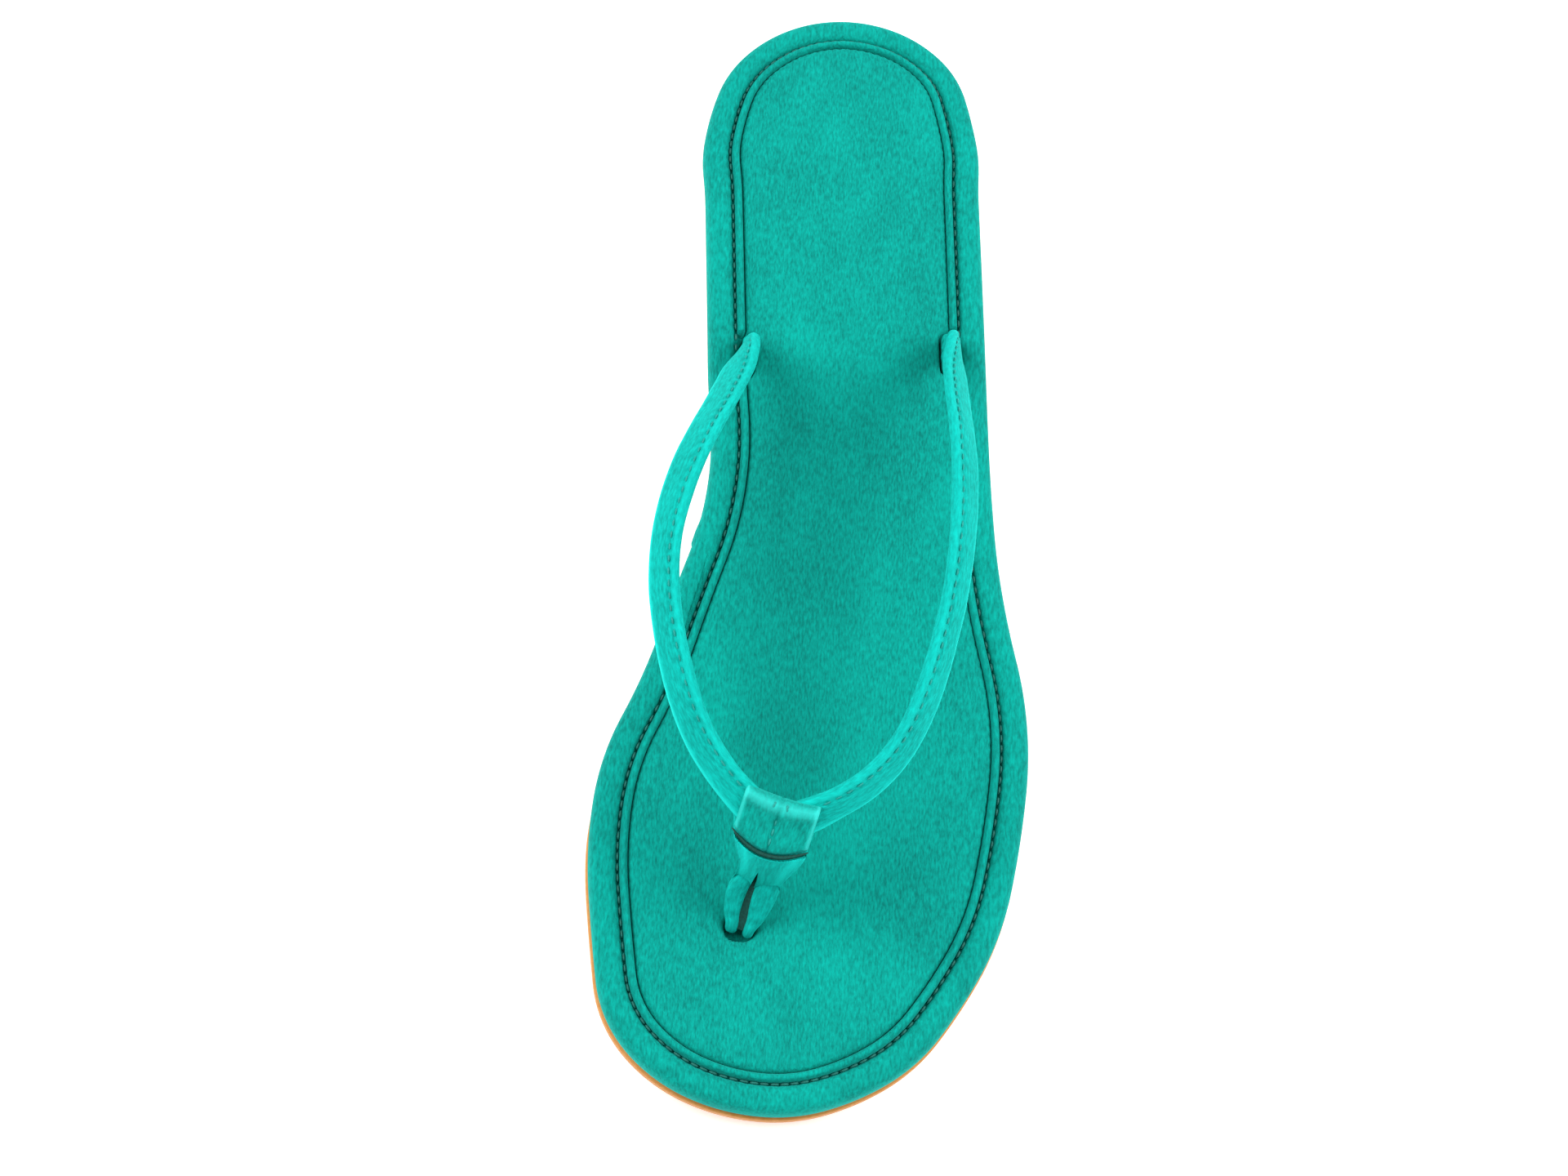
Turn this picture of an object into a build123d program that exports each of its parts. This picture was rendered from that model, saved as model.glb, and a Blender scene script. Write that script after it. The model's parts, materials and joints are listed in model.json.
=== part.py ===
from build123d import *
import math
import os

# A left-foot thong sandal with a wrapped suede sole. Millimetres, +Z up, toe towards -Y, heel
# towards +Y, big toe side towards -X. The origin is on the ground under the middle of the length.
# The sole and the straps bend; each layer of the sole is cut at the flex line, and the upper is
# cut where it leaves the sole, so that the pieces between the cuts can turn as rigid bodies.

# ---------------------------------------------------------------- plan of the sole
SOLE_LENGTH = 250.0
HEEL_HALF_WIDTH = 31.0
BALL_MEDIAL = 44.0  # from the heel's centre line to the big toe side at the ball
BALL_LATERAL = 46.0  # the same to the little toe side
WAIST_MEDIAL = 24.7
WAIST_LATERAL = 38.0
EDGE_AT_MEDIAL_SLOT = 26.8  # half widths of the sole where the straps enter it
EDGE_AT_LATERAL_SLOT = 34.6
TOE_TIP_OFFSET = 6.0  # how far the tip lies to the big toe side
HALF = SOLE_LENGTH / 2

# ---------------------------------------------------------------- side view of the sole
HEEL_OUTSOLE = 8.4  # outsole under the heel, which makes a low wedge
BALL_OUTSOLE = 3.6
WEDGE_START = 75.0  # the wedge falls away from here, forward of the heel seat
WEDGE_END = -5.0
TOE_SPRING = 4.5  # how far the tip of the toe is off the ground
SPRING_START = -62.0
SKIN = 1.0  # suede: the rim strip, and the footbed cover's base
BOARD = 1.5
FOAM = 3.0
COVER = 1.2
PIPING_PROUD = 0.7  # piping above the rim strip

# ---------------------------------------------------------------- insets from the outsole's edge
FLANGE = 0.6  # outsole beyond the rim strip
RIM_INNER = 6.2  # inner edge of the rim strip's top
TURN_UNDER = 6.2  # inner edge of its turned-under part
STITCH_GROOVE = 0.6
PIPING_WIDTH = 1.7
PANEL_GROOVE = 0.4
RIM_ROUND = 2.6  # rolled outer edge of the rim strip
THREAD = 0.5
THREAD_PLAY = 0.05  # thread to the groove's walls

# ---------------------------------------------------------------- flex line
FLEX_FROM_TOE = 79.0
FLEX_GAP = 0.3

# ---------------------------------------------------------------- straps and toe post
STRAP_WIDTH = 8.8
STRAP_THICKNESS = 3.0
TAPE_WIDTH = 6.0
TAPE_THICKNESS = 1.0
SLOT_CLEARANCE = 0.6
SLOT_TURN = 4.5  # degrees: the slots lie along the sole's tapering sides
MEDIAL_SLOT_FROM_HEEL = 86.5
LATERAL_SLOT_FROM_HEEL = 82.5
MAX_LIFT = 10.8  # degrees that the straps' feet turn in their slots
FOOT_PLAY = 0.4  # foot of a turned strap over its tail
PIPING_STOP = 0.5  # the piping's ends to a slot
FOOT_LEAN = 7.0  # degrees that a strap leans towards the toe as it leaves its slot
POST_FOOT_WIDTH = 6.6
POST_WIDTH = 10.4
POST_FLARE = 14.6  # width of the post's top, where it comes out from the keeper
POST_THICKNESS = 4.6
POST_FLARE_THICKNESS = 3.4
POST_CLEARANCE = 1.2
HOLE_X = -12.0
HOLE_FROM_TOE = 37.5
JUNCTION_X = -8.0
JUNCTION_BACK = 15.5  # junction behind the hole
JUNCTION_HEIGHT = 24.0  # junction above the footbed
POST_FOOT_GAP = 1.5  # post over the footbed, for the play of its foot
POST_TOP_GAP = 1.3  # post under the keeper
POST_TAPE_SHARE = 0.5  # tape's section in the post, as a share of the post's
STRAP_JOIN = 0.3  # between the straps' ends, inside the keeper
KEEPER_LENGTH = 15.0
KEEPER_WALL = 1.2
KEEPER_CLEARANCE = 0.3
SEAM_WIDTH = 0.6  # stitched lines on the straps and the keeper
SEAM_HEIGHT = 0.4
SEAM_LIFT = 0.15
SEAM_INSET = 1.5  # from the strap's inner edge
SEAM_STOP = 4.0  # the seam's ends to the slot and to the keeper

# Each strap's line, from slot to junction: share of the way, distance outside the straight line
# between the two, and height over it.
MEDIAL_LINE = [(0.13, 4.9, 13.0), (0.33, 14.5, 20.5), (0.54, 20.9, 19.2), (0.765, 18.5, 11.6), (0.95, 7.4, 2.9)]
LATERAL_LINE = [(0.11, 2.6, 12.7), (0.29, 9.2, 20.1), (0.51, 16.4, 19.5), (0.75, 19.8, 12.0), (0.94, 12.6, 2.9)]
# How far the strap turns on edge, in degrees, at shares of its length: flat is 0.
MEDIAL_TILT = [(0.0, 90.0), (0.14, 35.0), (0.5, 40.0), (0.85, 42.0), (1.0, 14.0)]
LATERAL_TILT = [(0.0, 90.0), (0.14, 50.0), (0.5, 45.0), (0.85, 52.0), (1.0, 14.0)]
STRAP_SECTIONS = 18
SLOT_PULL = 1.0  # how long each strap's line keeps its direction at its two ends
JUNCTION_PULL = 0.4

# ---------------------------------------------------------------- hidden pieces
SHANK_WIDTH = 10.0
SHANK_FRONT = -30.0
SHANK_REAR = 70.0
SHANK_X = 3.5
TAIL_LENGTH = 14.0  # turned leg of each strap's tail, under the board
TAIL_PLAY = 0.3
TACK_HEAD = 1.3  # radius
TACK_HEAD_HEIGHT = 0.4
TACK_SHANK = 0.5  # radius
TACK_DEPTH = 2.2
TACK_PITCH = 4.4
TACK_REACH = 0.72  # share of the leg from the hole to the tacks

# ---------------------------------------------------------------- tread
TREAD_DEPTH = 0.8
TREAD_WIDTH = 2.0
TREAD_PITCH = 7.0
TREAD_BORDER = 12.0

# ---------------------------------------------------------------- worked out
FLEX_Y = -HALF + FLEX_FROM_TOE
PIPING_OUTER = RIM_INNER + STITCH_GROOVE
PIPING_INNER = PIPING_OUTER + PIPING_WIDTH
COVER_EDGE = PIPING_INNER + PANEL_GROOVE
BOARD_TOP = SKIN + BOARD
FOAM_TOP = BOARD_TOP + FOAM
STACK = FOAM_TOP + SKIN  # rim strip's top, above the outsole
FOOTBED = FOAM_TOP + COVER
BLOCK = 60.0  # height of the tall blocks that the layers are cut from
OVERRUN = 10.0  # how far cutters run past the sole

SLOT_LENGTH = STRAP_WIDTH + 2 * SLOT_CLEARANCE
SLOT_WIDTH = STRAP_THICKNESS + 2 * SLOT_CLEARANCE
SLOT_INSET = PIPING_OUTER + SLOT_WIDTH / 2  # a slot interrupts the piping
HOLE_LENGTH = POST_THICKNESS + 2 * POST_CLEARANCE
HOLE_WIDTH = POST_FOOT_WIDTH + 2 * POST_CLEARANCE
MEDIAL_SLOT = Vector(-EDGE_AT_MEDIAL_SLOT + SLOT_INSET, HALF - MEDIAL_SLOT_FROM_HEEL)
LATERAL_SLOT = Vector(EDGE_AT_LATERAL_SLOT - SLOT_INSET, HALF - LATERAL_SLOT_FROM_HEEL)
TOE_HOLE = Vector(HOLE_X, -HALF + HOLE_FROM_TOE)
STRAP_GAP = STRAP_WIDTH / 2 * math.sin(math.radians(MAX_LIFT + FOOT_LEAN)) + FOOT_PLAY

OUTLINE = [
    (0.0, HALF),
    (0.72 * HEEL_HALF_WIDTH, 0.93 * HALF),
    (HEEL_HALF_WIDTH, 0.76 * HALF),
    (1.03 * HEEL_HALF_WIDTH, 0.64 * HALF),
    (EDGE_AT_LATERAL_SLOT, HALF - LATERAL_SLOT_FROM_HEEL),
    (WAIST_LATERAL, 0.03 * HALF),
    (BALL_LATERAL, -0.43 * HALF),
    (0.80 * BALL_LATERAL, -0.75 * HALF),
    (0.42 * BALL_LATERAL, -0.93 * HALF),
    (-TOE_TIP_OFFSET, -HALF),
    (-0.74 * BALL_MEDIAL, -0.92 * HALF),
    (-0.985 * BALL_MEDIAL, -0.66 * HALF),
    (-BALL_MEDIAL, -0.50 * HALF),
    (-0.75 * BALL_MEDIAL, -0.20 * HALF),
    (-WAIST_MEDIAL, 0.10 * HALF),
    (-EDGE_AT_MEDIAL_SLOT, HALF - MEDIAL_SLOT_FROM_HEEL),
    (-0.96 * HEEL_HALF_WIDTH, 0.60 * HALF),
    (-HEEL_HALF_WIDTH, 0.73 * HALF),
    (-0.75 * HEEL_HALF_WIDTH, 0.91 * HALF),
]


# ---------------------------------------------------------------- helpers for the sole
def sole_outline():
    """Closed chain of arcs through the stations, tangent where they meet, two to a span."""
    points = [Vector(x, y) for x, y in OUTLINE]
    count = len(points)
    tangents = []
    for index, point in enumerate(points):
        before = point - points[index - 1]
        after = points[(index + 1) % count] - point
        tangents.append((before * (1 / before.length**2) + after * (1 / after.length**2)).normalized())
    for index, start in enumerate(points):
        end = points[(index + 1) % count]
        leave = tangents[index]
        arrive = tangents[(index + 1) % count]
        chord = end - start
        spread = 2 * (1 - leave.dot(arrive))
        along = chord.dot(leave + arrive)
        reach = (math.sqrt(along**2 + spread * chord.dot(chord)) - along) / spread
        middle = (start + end + (leave - arrive) * reach) * 0.5
        first = TangentArc(start, middle, tangent=leave)
        TangentArc(middle, end, tangent=first % 1)


def outsole_top(y):
    """Height of the outsole's top at y: heel seat, wedge of two equal arcs, forepart, toe spring."""
    drop = HEEL_OUTSOLE - BALL_OUTSOLE
    run = WEDGE_START - WEDGE_END
    wedge_radius = (run**2 + drop**2) / (4 * drop)
    spring_run = HALF + SPRING_START
    spring_radius = (spring_run**2 + TOE_SPRING**2) / (2 * TOE_SPRING)
    if y > WEDGE_START:
        return HEEL_OUTSOLE
    if y > (WEDGE_START + WEDGE_END) / 2:
        return HEEL_OUTSOLE - wedge_radius + math.sqrt(wedge_radius**2 - (WEDGE_START - y) ** 2)
    if y > WEDGE_END:
        return BALL_OUTSOLE + wedge_radius - math.sqrt(wedge_radius**2 - (y - WEDGE_END) ** 2)
    if y > SPRING_START:
        return BALL_OUTSOLE
    return BALL_OUTSOLE + spring_radius - math.sqrt(spring_radius**2 - (SPRING_START - y) ** 2)


def side_line(level):
    """Side view of a surface that lies level above the outsole's top, from heel to toe."""
    rear = HALF + OVERRUN
    middle = (WEDGE_START + WEDGE_END) / 2
    seat = Line((rear, HEEL_OUTSOLE + level), (WEDGE_START, HEEL_OUTSOLE + level))
    upper = TangentArc(seat @ 1, (middle, outsole_top(middle) + level), tangent=(-1, 0))
    lower = TangentArc(upper @ 1, (WEDGE_END, BALL_OUTSOLE + level), tangent=upper % 1)
    forepart = Line(lower @ 1, (SPRING_START, BALL_OUTSOLE + level))
    tip = TangentArc(forepart @ 1, (-HALF, BALL_OUTSOLE + TOE_SPRING + level), tangent=(-1, 0))
    Line(tip @ 1, (tip @ 1) + (tip % 1) * OVERRUN)
    return seat @ 0, (tip @ 1) + (tip % 1) * OVERRUN


def ground_line(level):
    """Side view of the outsole's underside, raised by level: flat, then the toe spring."""
    flat = Line((HALF + OVERRUN, level), (SPRING_START, level))
    tip = TangentArc(flat @ 1, (-HALF, TOE_SPRING + level), tangent=(-1, 0))
    Line(tip @ 1, (tip @ 1) + (tip % 1) * OVERRUN)
    return flat @ 0, (tip @ 1) + (tip % 1) * OVERRUN


def slab(low_line, low, high_line, high):
    """Slab across the whole sole between two side lines."""
    with BuildPart() as body:
        with BuildSketch(Plane.YZ):
            with BuildLine():
                low_rear, low_tip = low_line(low)
                high_rear, high_tip = high_line(high)
                Line(low_rear, high_rear)
                Line(low_tip, high_tip)
            make_face()
        extrude(amount=BALL_MEDIAL + BALL_LATERAL, both=True)
    return body.part


def outline_block(inset):
    """Tall block with the sole's plan, inset all round."""
    with BuildPart() as body:
        with BuildSketch(Plane.XY.offset(-OVERRUN)):
            with BuildLine():
                sole_outline()
            make_face()
            if inset > 0:
                offset(amount=-inset, mode=Mode.REPLACE)
        extrude(amount=BLOCK)
    return body.part


def layer(inset, low, high):
    """One layer of the sole, between two levels above the outsole."""
    with BuildPart() as body:
        add(outline_block(inset))
        add(slab(side_line, low, side_line, high), mode=Mode.INTERSECT)
    return body.part


def column(centre, length, width, turn, low, high):
    """Rounded column through the sole between two levels, long side along Y before it turns."""
    with BuildPart() as body:
        with BuildSketch(Plane.XY.offset(-OVERRUN)):
            with Locations(Location((centre.X, centre.Y, 0), (0, 0, turn))):
                RectangleRounded(width, length, min(width, length) * 0.45)
        extrude(amount=BLOCK)
        add(slab(side_line, low, side_line, high), mode=Mode.INTERSECT)
    return body.part


def leg(start, end, width, low, high):
    """Flat strip in the sole from start to end, square ended."""
    run = end - start
    middle = (start + end) * 0.5
    turn = math.degrees(math.atan2(run.Y, run.X))
    with BuildPart() as body:
        with BuildSketch(Plane.XY.offset(-OVERRUN)):
            with Locations(Location((middle.X, middle.Y, 0), (0, 0, turn))):
                Rectangle(run.length, width)
        extrude(amount=BLOCK)
        add(slab(side_line, low, side_line, high), mode=Mode.INTERSECT)
    return body.part


def write(part, label):
    part.label = label
    export_step(part, f"parts/{label}.step")


os.makedirs("parts", exist_ok=True)
HALVES = {
    "rear": Plane(origin=(0, FLEX_Y + FLEX_GAP / 2, 0), z_dir=(0, 1, 0)),
    "front": Plane(origin=(0, FLEX_Y - FLEX_GAP / 2, 0), z_dir=(0, -1, 0)),
}

# ---------------------------------------------------------------- where the upper enters the sole
openings = [
    column(MEDIAL_SLOT, SLOT_LENGTH, SLOT_WIDTH, -SLOT_TURN, SKIN, STACK + OVERRUN),
    column(LATERAL_SLOT, SLOT_LENGTH, SLOT_WIDTH, SLOT_TURN, SKIN, STACK + OVERRUN),
    column(TOE_HOLE, HOLE_LENGTH, HOLE_WIDTH, 0, SKIN, STACK + OVERRUN),
]

# Each tail: centre of its hole, way that it turns under the board, width, thickness, turn.
TAILS = {
    "strap_tail_medial": (MEDIAL_SLOT, Vector(TAIL_LENGTH, 0), STRAP_WIDTH, STRAP_THICKNESS, -SLOT_TURN),
    "strap_tail_lateral": (LATERAL_SLOT, Vector(-TAIL_LENGTH, 0), STRAP_WIDTH, STRAP_THICKNESS, SLOT_TURN),
    "toe_post_tail": (TOE_HOLE, Vector(0, TAIL_LENGTH), POST_THICKNESS, POST_FOOT_WIDTH, 0),
}


def nail(place, radius, high):
    """Round column from the outsole up to a level."""
    with BuildPart() as body:
        with BuildSketch(Plane.XY.offset(-OVERRUN)):
            with Locations((place.X, place.Y)):
                Circle(radius)
        extrude(amount=BLOCK)
        add(slab(side_line, 0, side_line, high), mode=Mode.INTERSECT)
    return body.part


def tack_pair(centre, reach):
    """Two tacks side by side across a turned leg, heads flush with its underside."""
    sideways = Vector(-reach.Y, reach.X).normalized() * (TACK_PITCH / 2)
    with BuildPart() as body:
        for step in (sideways, sideways * -1):
            place = centre + reach * TACK_REACH + step
            add(nail(place, TACK_HEAD, TACK_HEAD_HEIGHT))
            add(nail(place, TACK_SHANK, TACK_DEPTH))
    return body.part


tack_pairs = {label: tack_pair(tail[0], tail[1]) for label, tail in TAILS.items()}
turned_legs = {}
for label, (centre, reach, length, width, turn) in TAILS.items():
    leg_width = width if label == "toe_post_tail" else length
    turned_legs[label] = leg(centre, centre + reach, leg_width, 0, SKIN)

for label, (centre, reach, length, width, turn) in TAILS.items():
    with BuildPart() as tail:
        add(column(centre, length, width, turn, 0, FOOTBED))
        add(turned_legs[label])
        add(tack_pairs[label], mode=Mode.SUBTRACT)
    write(tail.part, label)
    write(tack_pairs[label], label.replace("tail", "tacks"))

# ---------------------------------------------------------------- sole, cut at the flex line
with BuildPart() as outsole:
    add(outline_block(0))
    add(slab(ground_line, 0, side_line, 0), mode=Mode.INTERSECT)

with BuildPart() as tread:
    with BuildSketch(Plane.XY.offset(-OVERRUN)):
        with GridLocations(0, TREAD_PITCH, 1, 2 * int(HALF / TREAD_PITCH)):
            Rectangle(2 * BALL_LATERAL, TREAD_WIDTH)
    extrude(amount=BLOCK)
    add(outline_block(TREAD_BORDER), mode=Mode.INTERSECT)
    add(slab(ground_line, -OVERRUN, ground_line, TREAD_DEPTH), mode=Mode.INTERSECT)

with BuildPart() as filler:
    add(layer(TURN_UNDER, 0, SKIN))

with BuildPart() as shank:
    start = Vector(SHANK_X, SHANK_FRONT)
    end = Vector(SHANK_X, SHANK_REAR)
    add(leg(start, end, SHANK_WIDTH, 0, SKIN))

with BuildPart() as board:
    add(layer(FLANGE + SKIN, SKIN, BOARD_TOP))

with BuildPart() as foam:
    add(layer(FLANGE + SKIN, BOARD_TOP, FOAM_TOP))

with BuildPart() as rim:
    add(layer(FLANGE, 0, STACK))
    rim_edges = rim.edges().filter_by(GeomType.LINE, reverse=True)
    top_edges = rim_edges.filter_by(lambda edge: edge.center().Z > outsole_top(edge.center().Y) + STACK / 2)
    fillet(top_edges, RIM_ROUND)
    add(layer(FLANGE + SKIN, SKIN, FOAM_TOP), mode=Mode.SUBTRACT)
    add(layer(RIM_INNER, FOAM_TOP, STACK + OVERRUN), mode=Mode.SUBTRACT)
    add(layer(TURN_UNDER, -OVERRUN, SKIN), mode=Mode.SUBTRACT)

with BuildPart() as piping:
    add(layer(PIPING_OUTER, FOAM_TOP, STACK + PIPING_PROUD))
    add(layer(PIPING_INNER, FOAM_TOP - OVERRUN, STACK + OVERRUN), mode=Mode.SUBTRACT)

with BuildPart() as stitching:
    add(layer(RIM_INNER + THREAD_PLAY, FOAM_TOP, FOAM_TOP + THREAD))
    add(layer(PIPING_OUTER - THREAD_PLAY, FOAM_TOP - OVERRUN, STACK + OVERRUN), mode=Mode.SUBTRACT)

with BuildPart() as cover:
    add(layer(COVER_EDGE, FOAM_TOP, FOOTBED))

with BuildPart() as pockets:
    for label, (centre, reach, length, width, turn) in TAILS.items():
        along = reach.normalized() * TAIL_PLAY
        across = max(length, width) + 2 * TAIL_PLAY
        add(leg(centre - along, centre + reach + along, across, -OVERRUN, SKIN))
        add(column(centre, length + 2 * TAIL_PLAY, width + 2 * TAIL_PLAY, turn, -OVERRUN, SKIN))
    add(leg(Vector(SHANK_X, SHANK_FRONT), Vector(SHANK_X, SHANK_REAR), SHANK_WIDTH, -OVERRUN, SKIN))

piping_stops = [
    column(MEDIAL_SLOT, SLOT_LENGTH, SLOT_WIDTH + 2 * PIPING_STOP, -SLOT_TURN, SKIN, STACK + OVERRUN),
    column(LATERAL_SLOT, SLOT_LENGTH, SLOT_WIDTH + 2 * PIPING_STOP, SLOT_TURN, SKIN, STACK + OVERRUN),
]

LAYERS = {
    "outsole": (outsole.part, [tread.part]),
    "bottom_filler": (filler.part, [pockets.part]),
    "insole_board": (board.part, openings + list(tack_pairs.values())),
    "foam": (foam.part, openings),
    "rim_wrap": (rim.part, []),
    "piping": (piping.part, piping_stops),
    "rim_stitching": (stitching.part, []),
    "footbed_cover": (cover.part, openings),
}

for layer_name, (whole, cutters) in LAYERS.items():
    for half, cut in HALVES.items():
        with BuildPart() as piece:
            add(whole)
            for cutter in cutters:
                add(cutter, mode=Mode.SUBTRACT)
            split(bisect_by=cut, keep=Keep.TOP)
        write(piece.part, f"{layer_name}_{half}")
write(shank.part, "shank")

# ---------------------------------------------------------------- straps
def footbed_top(y):
    return outsole_top(y) + FOOTBED


def strap_foot(slot):
    """Where a strap starts, clear of its tail by the gap that lets it lift."""
    return Vector(slot.X, slot.Y, footbed_top(slot.Y) + STRAP_GAP)


JUNCTION = Vector(
    JUNCTION_X,
    TOE_HOLE.Y + JUNCTION_BACK,
    footbed_top(TOE_HOLE.Y) + JUNCTION_HEIGHT,
)


def strap_path(foot, line, outward):
    """Curve from the slot, up and over the foot, to the junction, which it meets along X."""
    way = JUNCTION - foot
    points = [foot]
    for share, out, rise in line:
        points.append(foot + way * share + Vector(outward * out, 0, rise))
    points.append(JUNCTION)
    lean = math.radians(FOOT_LEAN)
    directions = [(0, -math.sin(lean), math.cos(lean)), (-outward, 0, 0)]
    return Spline(*points, tangents=directions, tangent_scalars=[SLOT_PULL, JUNCTION_PULL])


def between(knots, share):
    """Value at a share of the way, straight between the knots."""
    for (start, low), (end, high) in zip(knots, knots[1:]):
        if share <= end:
            return low + (high - low) * (share - start) / (end - start)
    return knots[-1][1]


def strap_planes(path, tilt, outward, first, last):
    """Section planes along a strap: local X to its outer edge, local Y through its thickness."""
    planes = []
    for index in range(STRAP_SECTIONS + 1):
        share = first + (last - first) * index / STRAP_SECTIONS
        along = (path % share).normalized()
        level = along.cross(Vector(0, 0, 1)).normalized() * -outward
        raised = level.cross(along) * -outward
        angle = math.radians(between(tilt, share))
        edge = level * math.cos(angle) - raised * math.sin(angle)
        planes.append(Plane(origin=path @ share, x_dir=edge, z_dir=along))
    return planes


def strap_loft(planes, width, thickness, shift=(0, 0)):
    """Rounded strip through the planes, shifted across the strap and through its thickness."""
    with BuildPart() as body:
        for plane in planes:
            with BuildSketch(plane):
                with Locations(shift):
                    RectangleRounded(width, thickness, thickness * 0.45)
        loft()
    return body.part


STRAPS = {
    "medial": (MEDIAL_SLOT, MEDIAL_LINE, MEDIAL_TILT, -1),
    "lateral": (LATERAL_SLOT, LATERAL_LINE, LATERAL_TILT, 1),
}
paths = {}
for side, (slot, line, tilt, outward) in STRAPS.items():
    path = strap_path(strap_foot(slot), line, outward)
    paths[side] = path
    planes = strap_planes(path, tilt, outward, 0.0, 1.0)
    join = Plane(origin=JUNCTION + Vector(outward * STRAP_JOIN / 2, 0, 0), z_dir=(outward, 0, 0))
    with BuildPart() as tape:
        add(strap_loft(planes, TAPE_WIDTH, TAPE_THICKNESS))
        split(bisect_by=join, keep=Keep.TOP)
    with BuildPart() as strap:
        add(strap_loft(planes, STRAP_WIDTH, STRAP_THICKNESS))
        add(tape.part, mode=Mode.SUBTRACT)
        split(bisect_by=join, keep=Keep.TOP)
    write(strap.part, f"strap_{side}")
    write(tape.part, f"strap_{side}_tape")
    seam_end = 1 - (KEEPER_LENGTH / 2 + SEAM_STOP) / path.length
    seam_planes = strap_planes(path, tilt, outward, SEAM_STOP / path.length, seam_end)
    over = STRAP_THICKNESS / 2 + SEAM_LIFT + SEAM_HEIGHT / 2
    seam = strap_loft(seam_planes, SEAM_WIDTH, SEAM_HEIGHT, (SEAM_INSET - STRAP_WIDTH / 2, outward * over))
    write(seam, f"strap_{side}_stitching")

# ---------------------------------------------------------------- keeper
keeper_planes = []
for side, way in (("medial", 1), ("lateral", -1)):
    slot, line, tilt, outward = STRAPS[side]
    reach = KEEPER_LENGTH / 2 / paths[side].length
    planes = strap_planes(paths[side], tilt, outward, 1 - reach, 1.0)[:: STRAP_SECTIONS // 3]
    planes = [Plane(origin=plane.origin, x_dir=plane.x_dir, z_dir=plane.z_dir * way) for plane in planes]
    keeper_planes += planes if way == 1 else planes[-2::-1]
wrap_width = STRAP_WIDTH + 2 * KEEPER_CLEARANCE
wrap_thickness = STRAP_THICKNESS + 2 * KEEPER_CLEARANCE
with BuildPart() as keeper:
    add(strap_loft(keeper_planes, wrap_width + 2 * KEEPER_WALL, wrap_thickness + 2 * KEEPER_WALL))
    add(strap_loft(keeper_planes, wrap_width, wrap_thickness), mode=Mode.SUBTRACT)
write(keeper.part, "keeper")

junction_plane = keeper_planes[len(keeper_planes) // 2]
face_height = wrap_thickness / 2 + KEEPER_WALL + 2 * SEAM_LIFT + SEAM_HEIGHT / 2
with BuildPart() as keeper_stitching:
    with BuildSketch(junction_plane):
        with Locations((0, -face_height)):
            Rectangle(STRAP_WIDTH - STRAP_THICKNESS, SEAM_HEIGHT)
    extrude(amount=SEAM_WIDTH / 2, both=True)
write(keeper_stitching.part, "keeper_stitching")

# ---------------------------------------------------------------- toe post
post_foot = Vector(TOE_HOLE.X, TOE_HOLE.Y, footbed_top(TOE_HOLE.Y) + POST_FOOT_GAP)
post_way = (post_foot - JUNCTION).normalized()
keeper_down = junction_plane.y_dir
under_keeper = wrap_thickness / 2 + KEEPER_WALL + POST_TOP_GAP
post_top = JUNCTION + post_way * (under_keeper / post_way.dot(keeper_down))
post_run = post_foot - post_top
post_side = Vector(0, 0, 1).cross(post_way).normalized()
POST_SECTIONS = [  # plane, width, thickness: under the keeper, twice on the way, at the footbed
    (Plane(origin=post_top, x_dir=(1, 0, 0), z_dir=keeper_down), POST_FLARE, POST_FLARE_THICKNESS),
    (Plane(origin=post_top + post_run * 0.35, x_dir=post_side, z_dir=post_way), POST_WIDTH, POST_THICKNESS),
    (Plane(origin=post_top + post_run * 0.65, x_dir=post_side, z_dir=post_way), POST_WIDTH, POST_THICKNESS),
    (Plane(origin=post_foot, x_dir=post_side, z_dir=(0, 0, -1)), POST_FOOT_WIDTH, POST_THICKNESS),
]


def post_loft(scale):
    """Post from the keeper to the hole; the tape inside it is the same shape, thinner."""
    with BuildPart() as body:
        for plane, width, thickness in POST_SECTIONS:
            with BuildSketch(plane):
                RectangleRounded(width * scale, thickness * scale, thickness * scale * 0.45)
        loft()
    return body.part


post_tape = post_loft(POST_TAPE_SHARE)
with BuildPart() as post:
    add(post_loft(1.0))
    add(post_tape, mode=Mode.SUBTRACT)
write(post.part, "toe_post")
write(post_tape, "toe_post_tape")
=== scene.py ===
import json
import logging
import math
from dataclasses import dataclass
from enum import Enum
from typing import Optional, Sequence

import bpy
import numpy as np
from mathutils import Matrix, Vector


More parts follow.
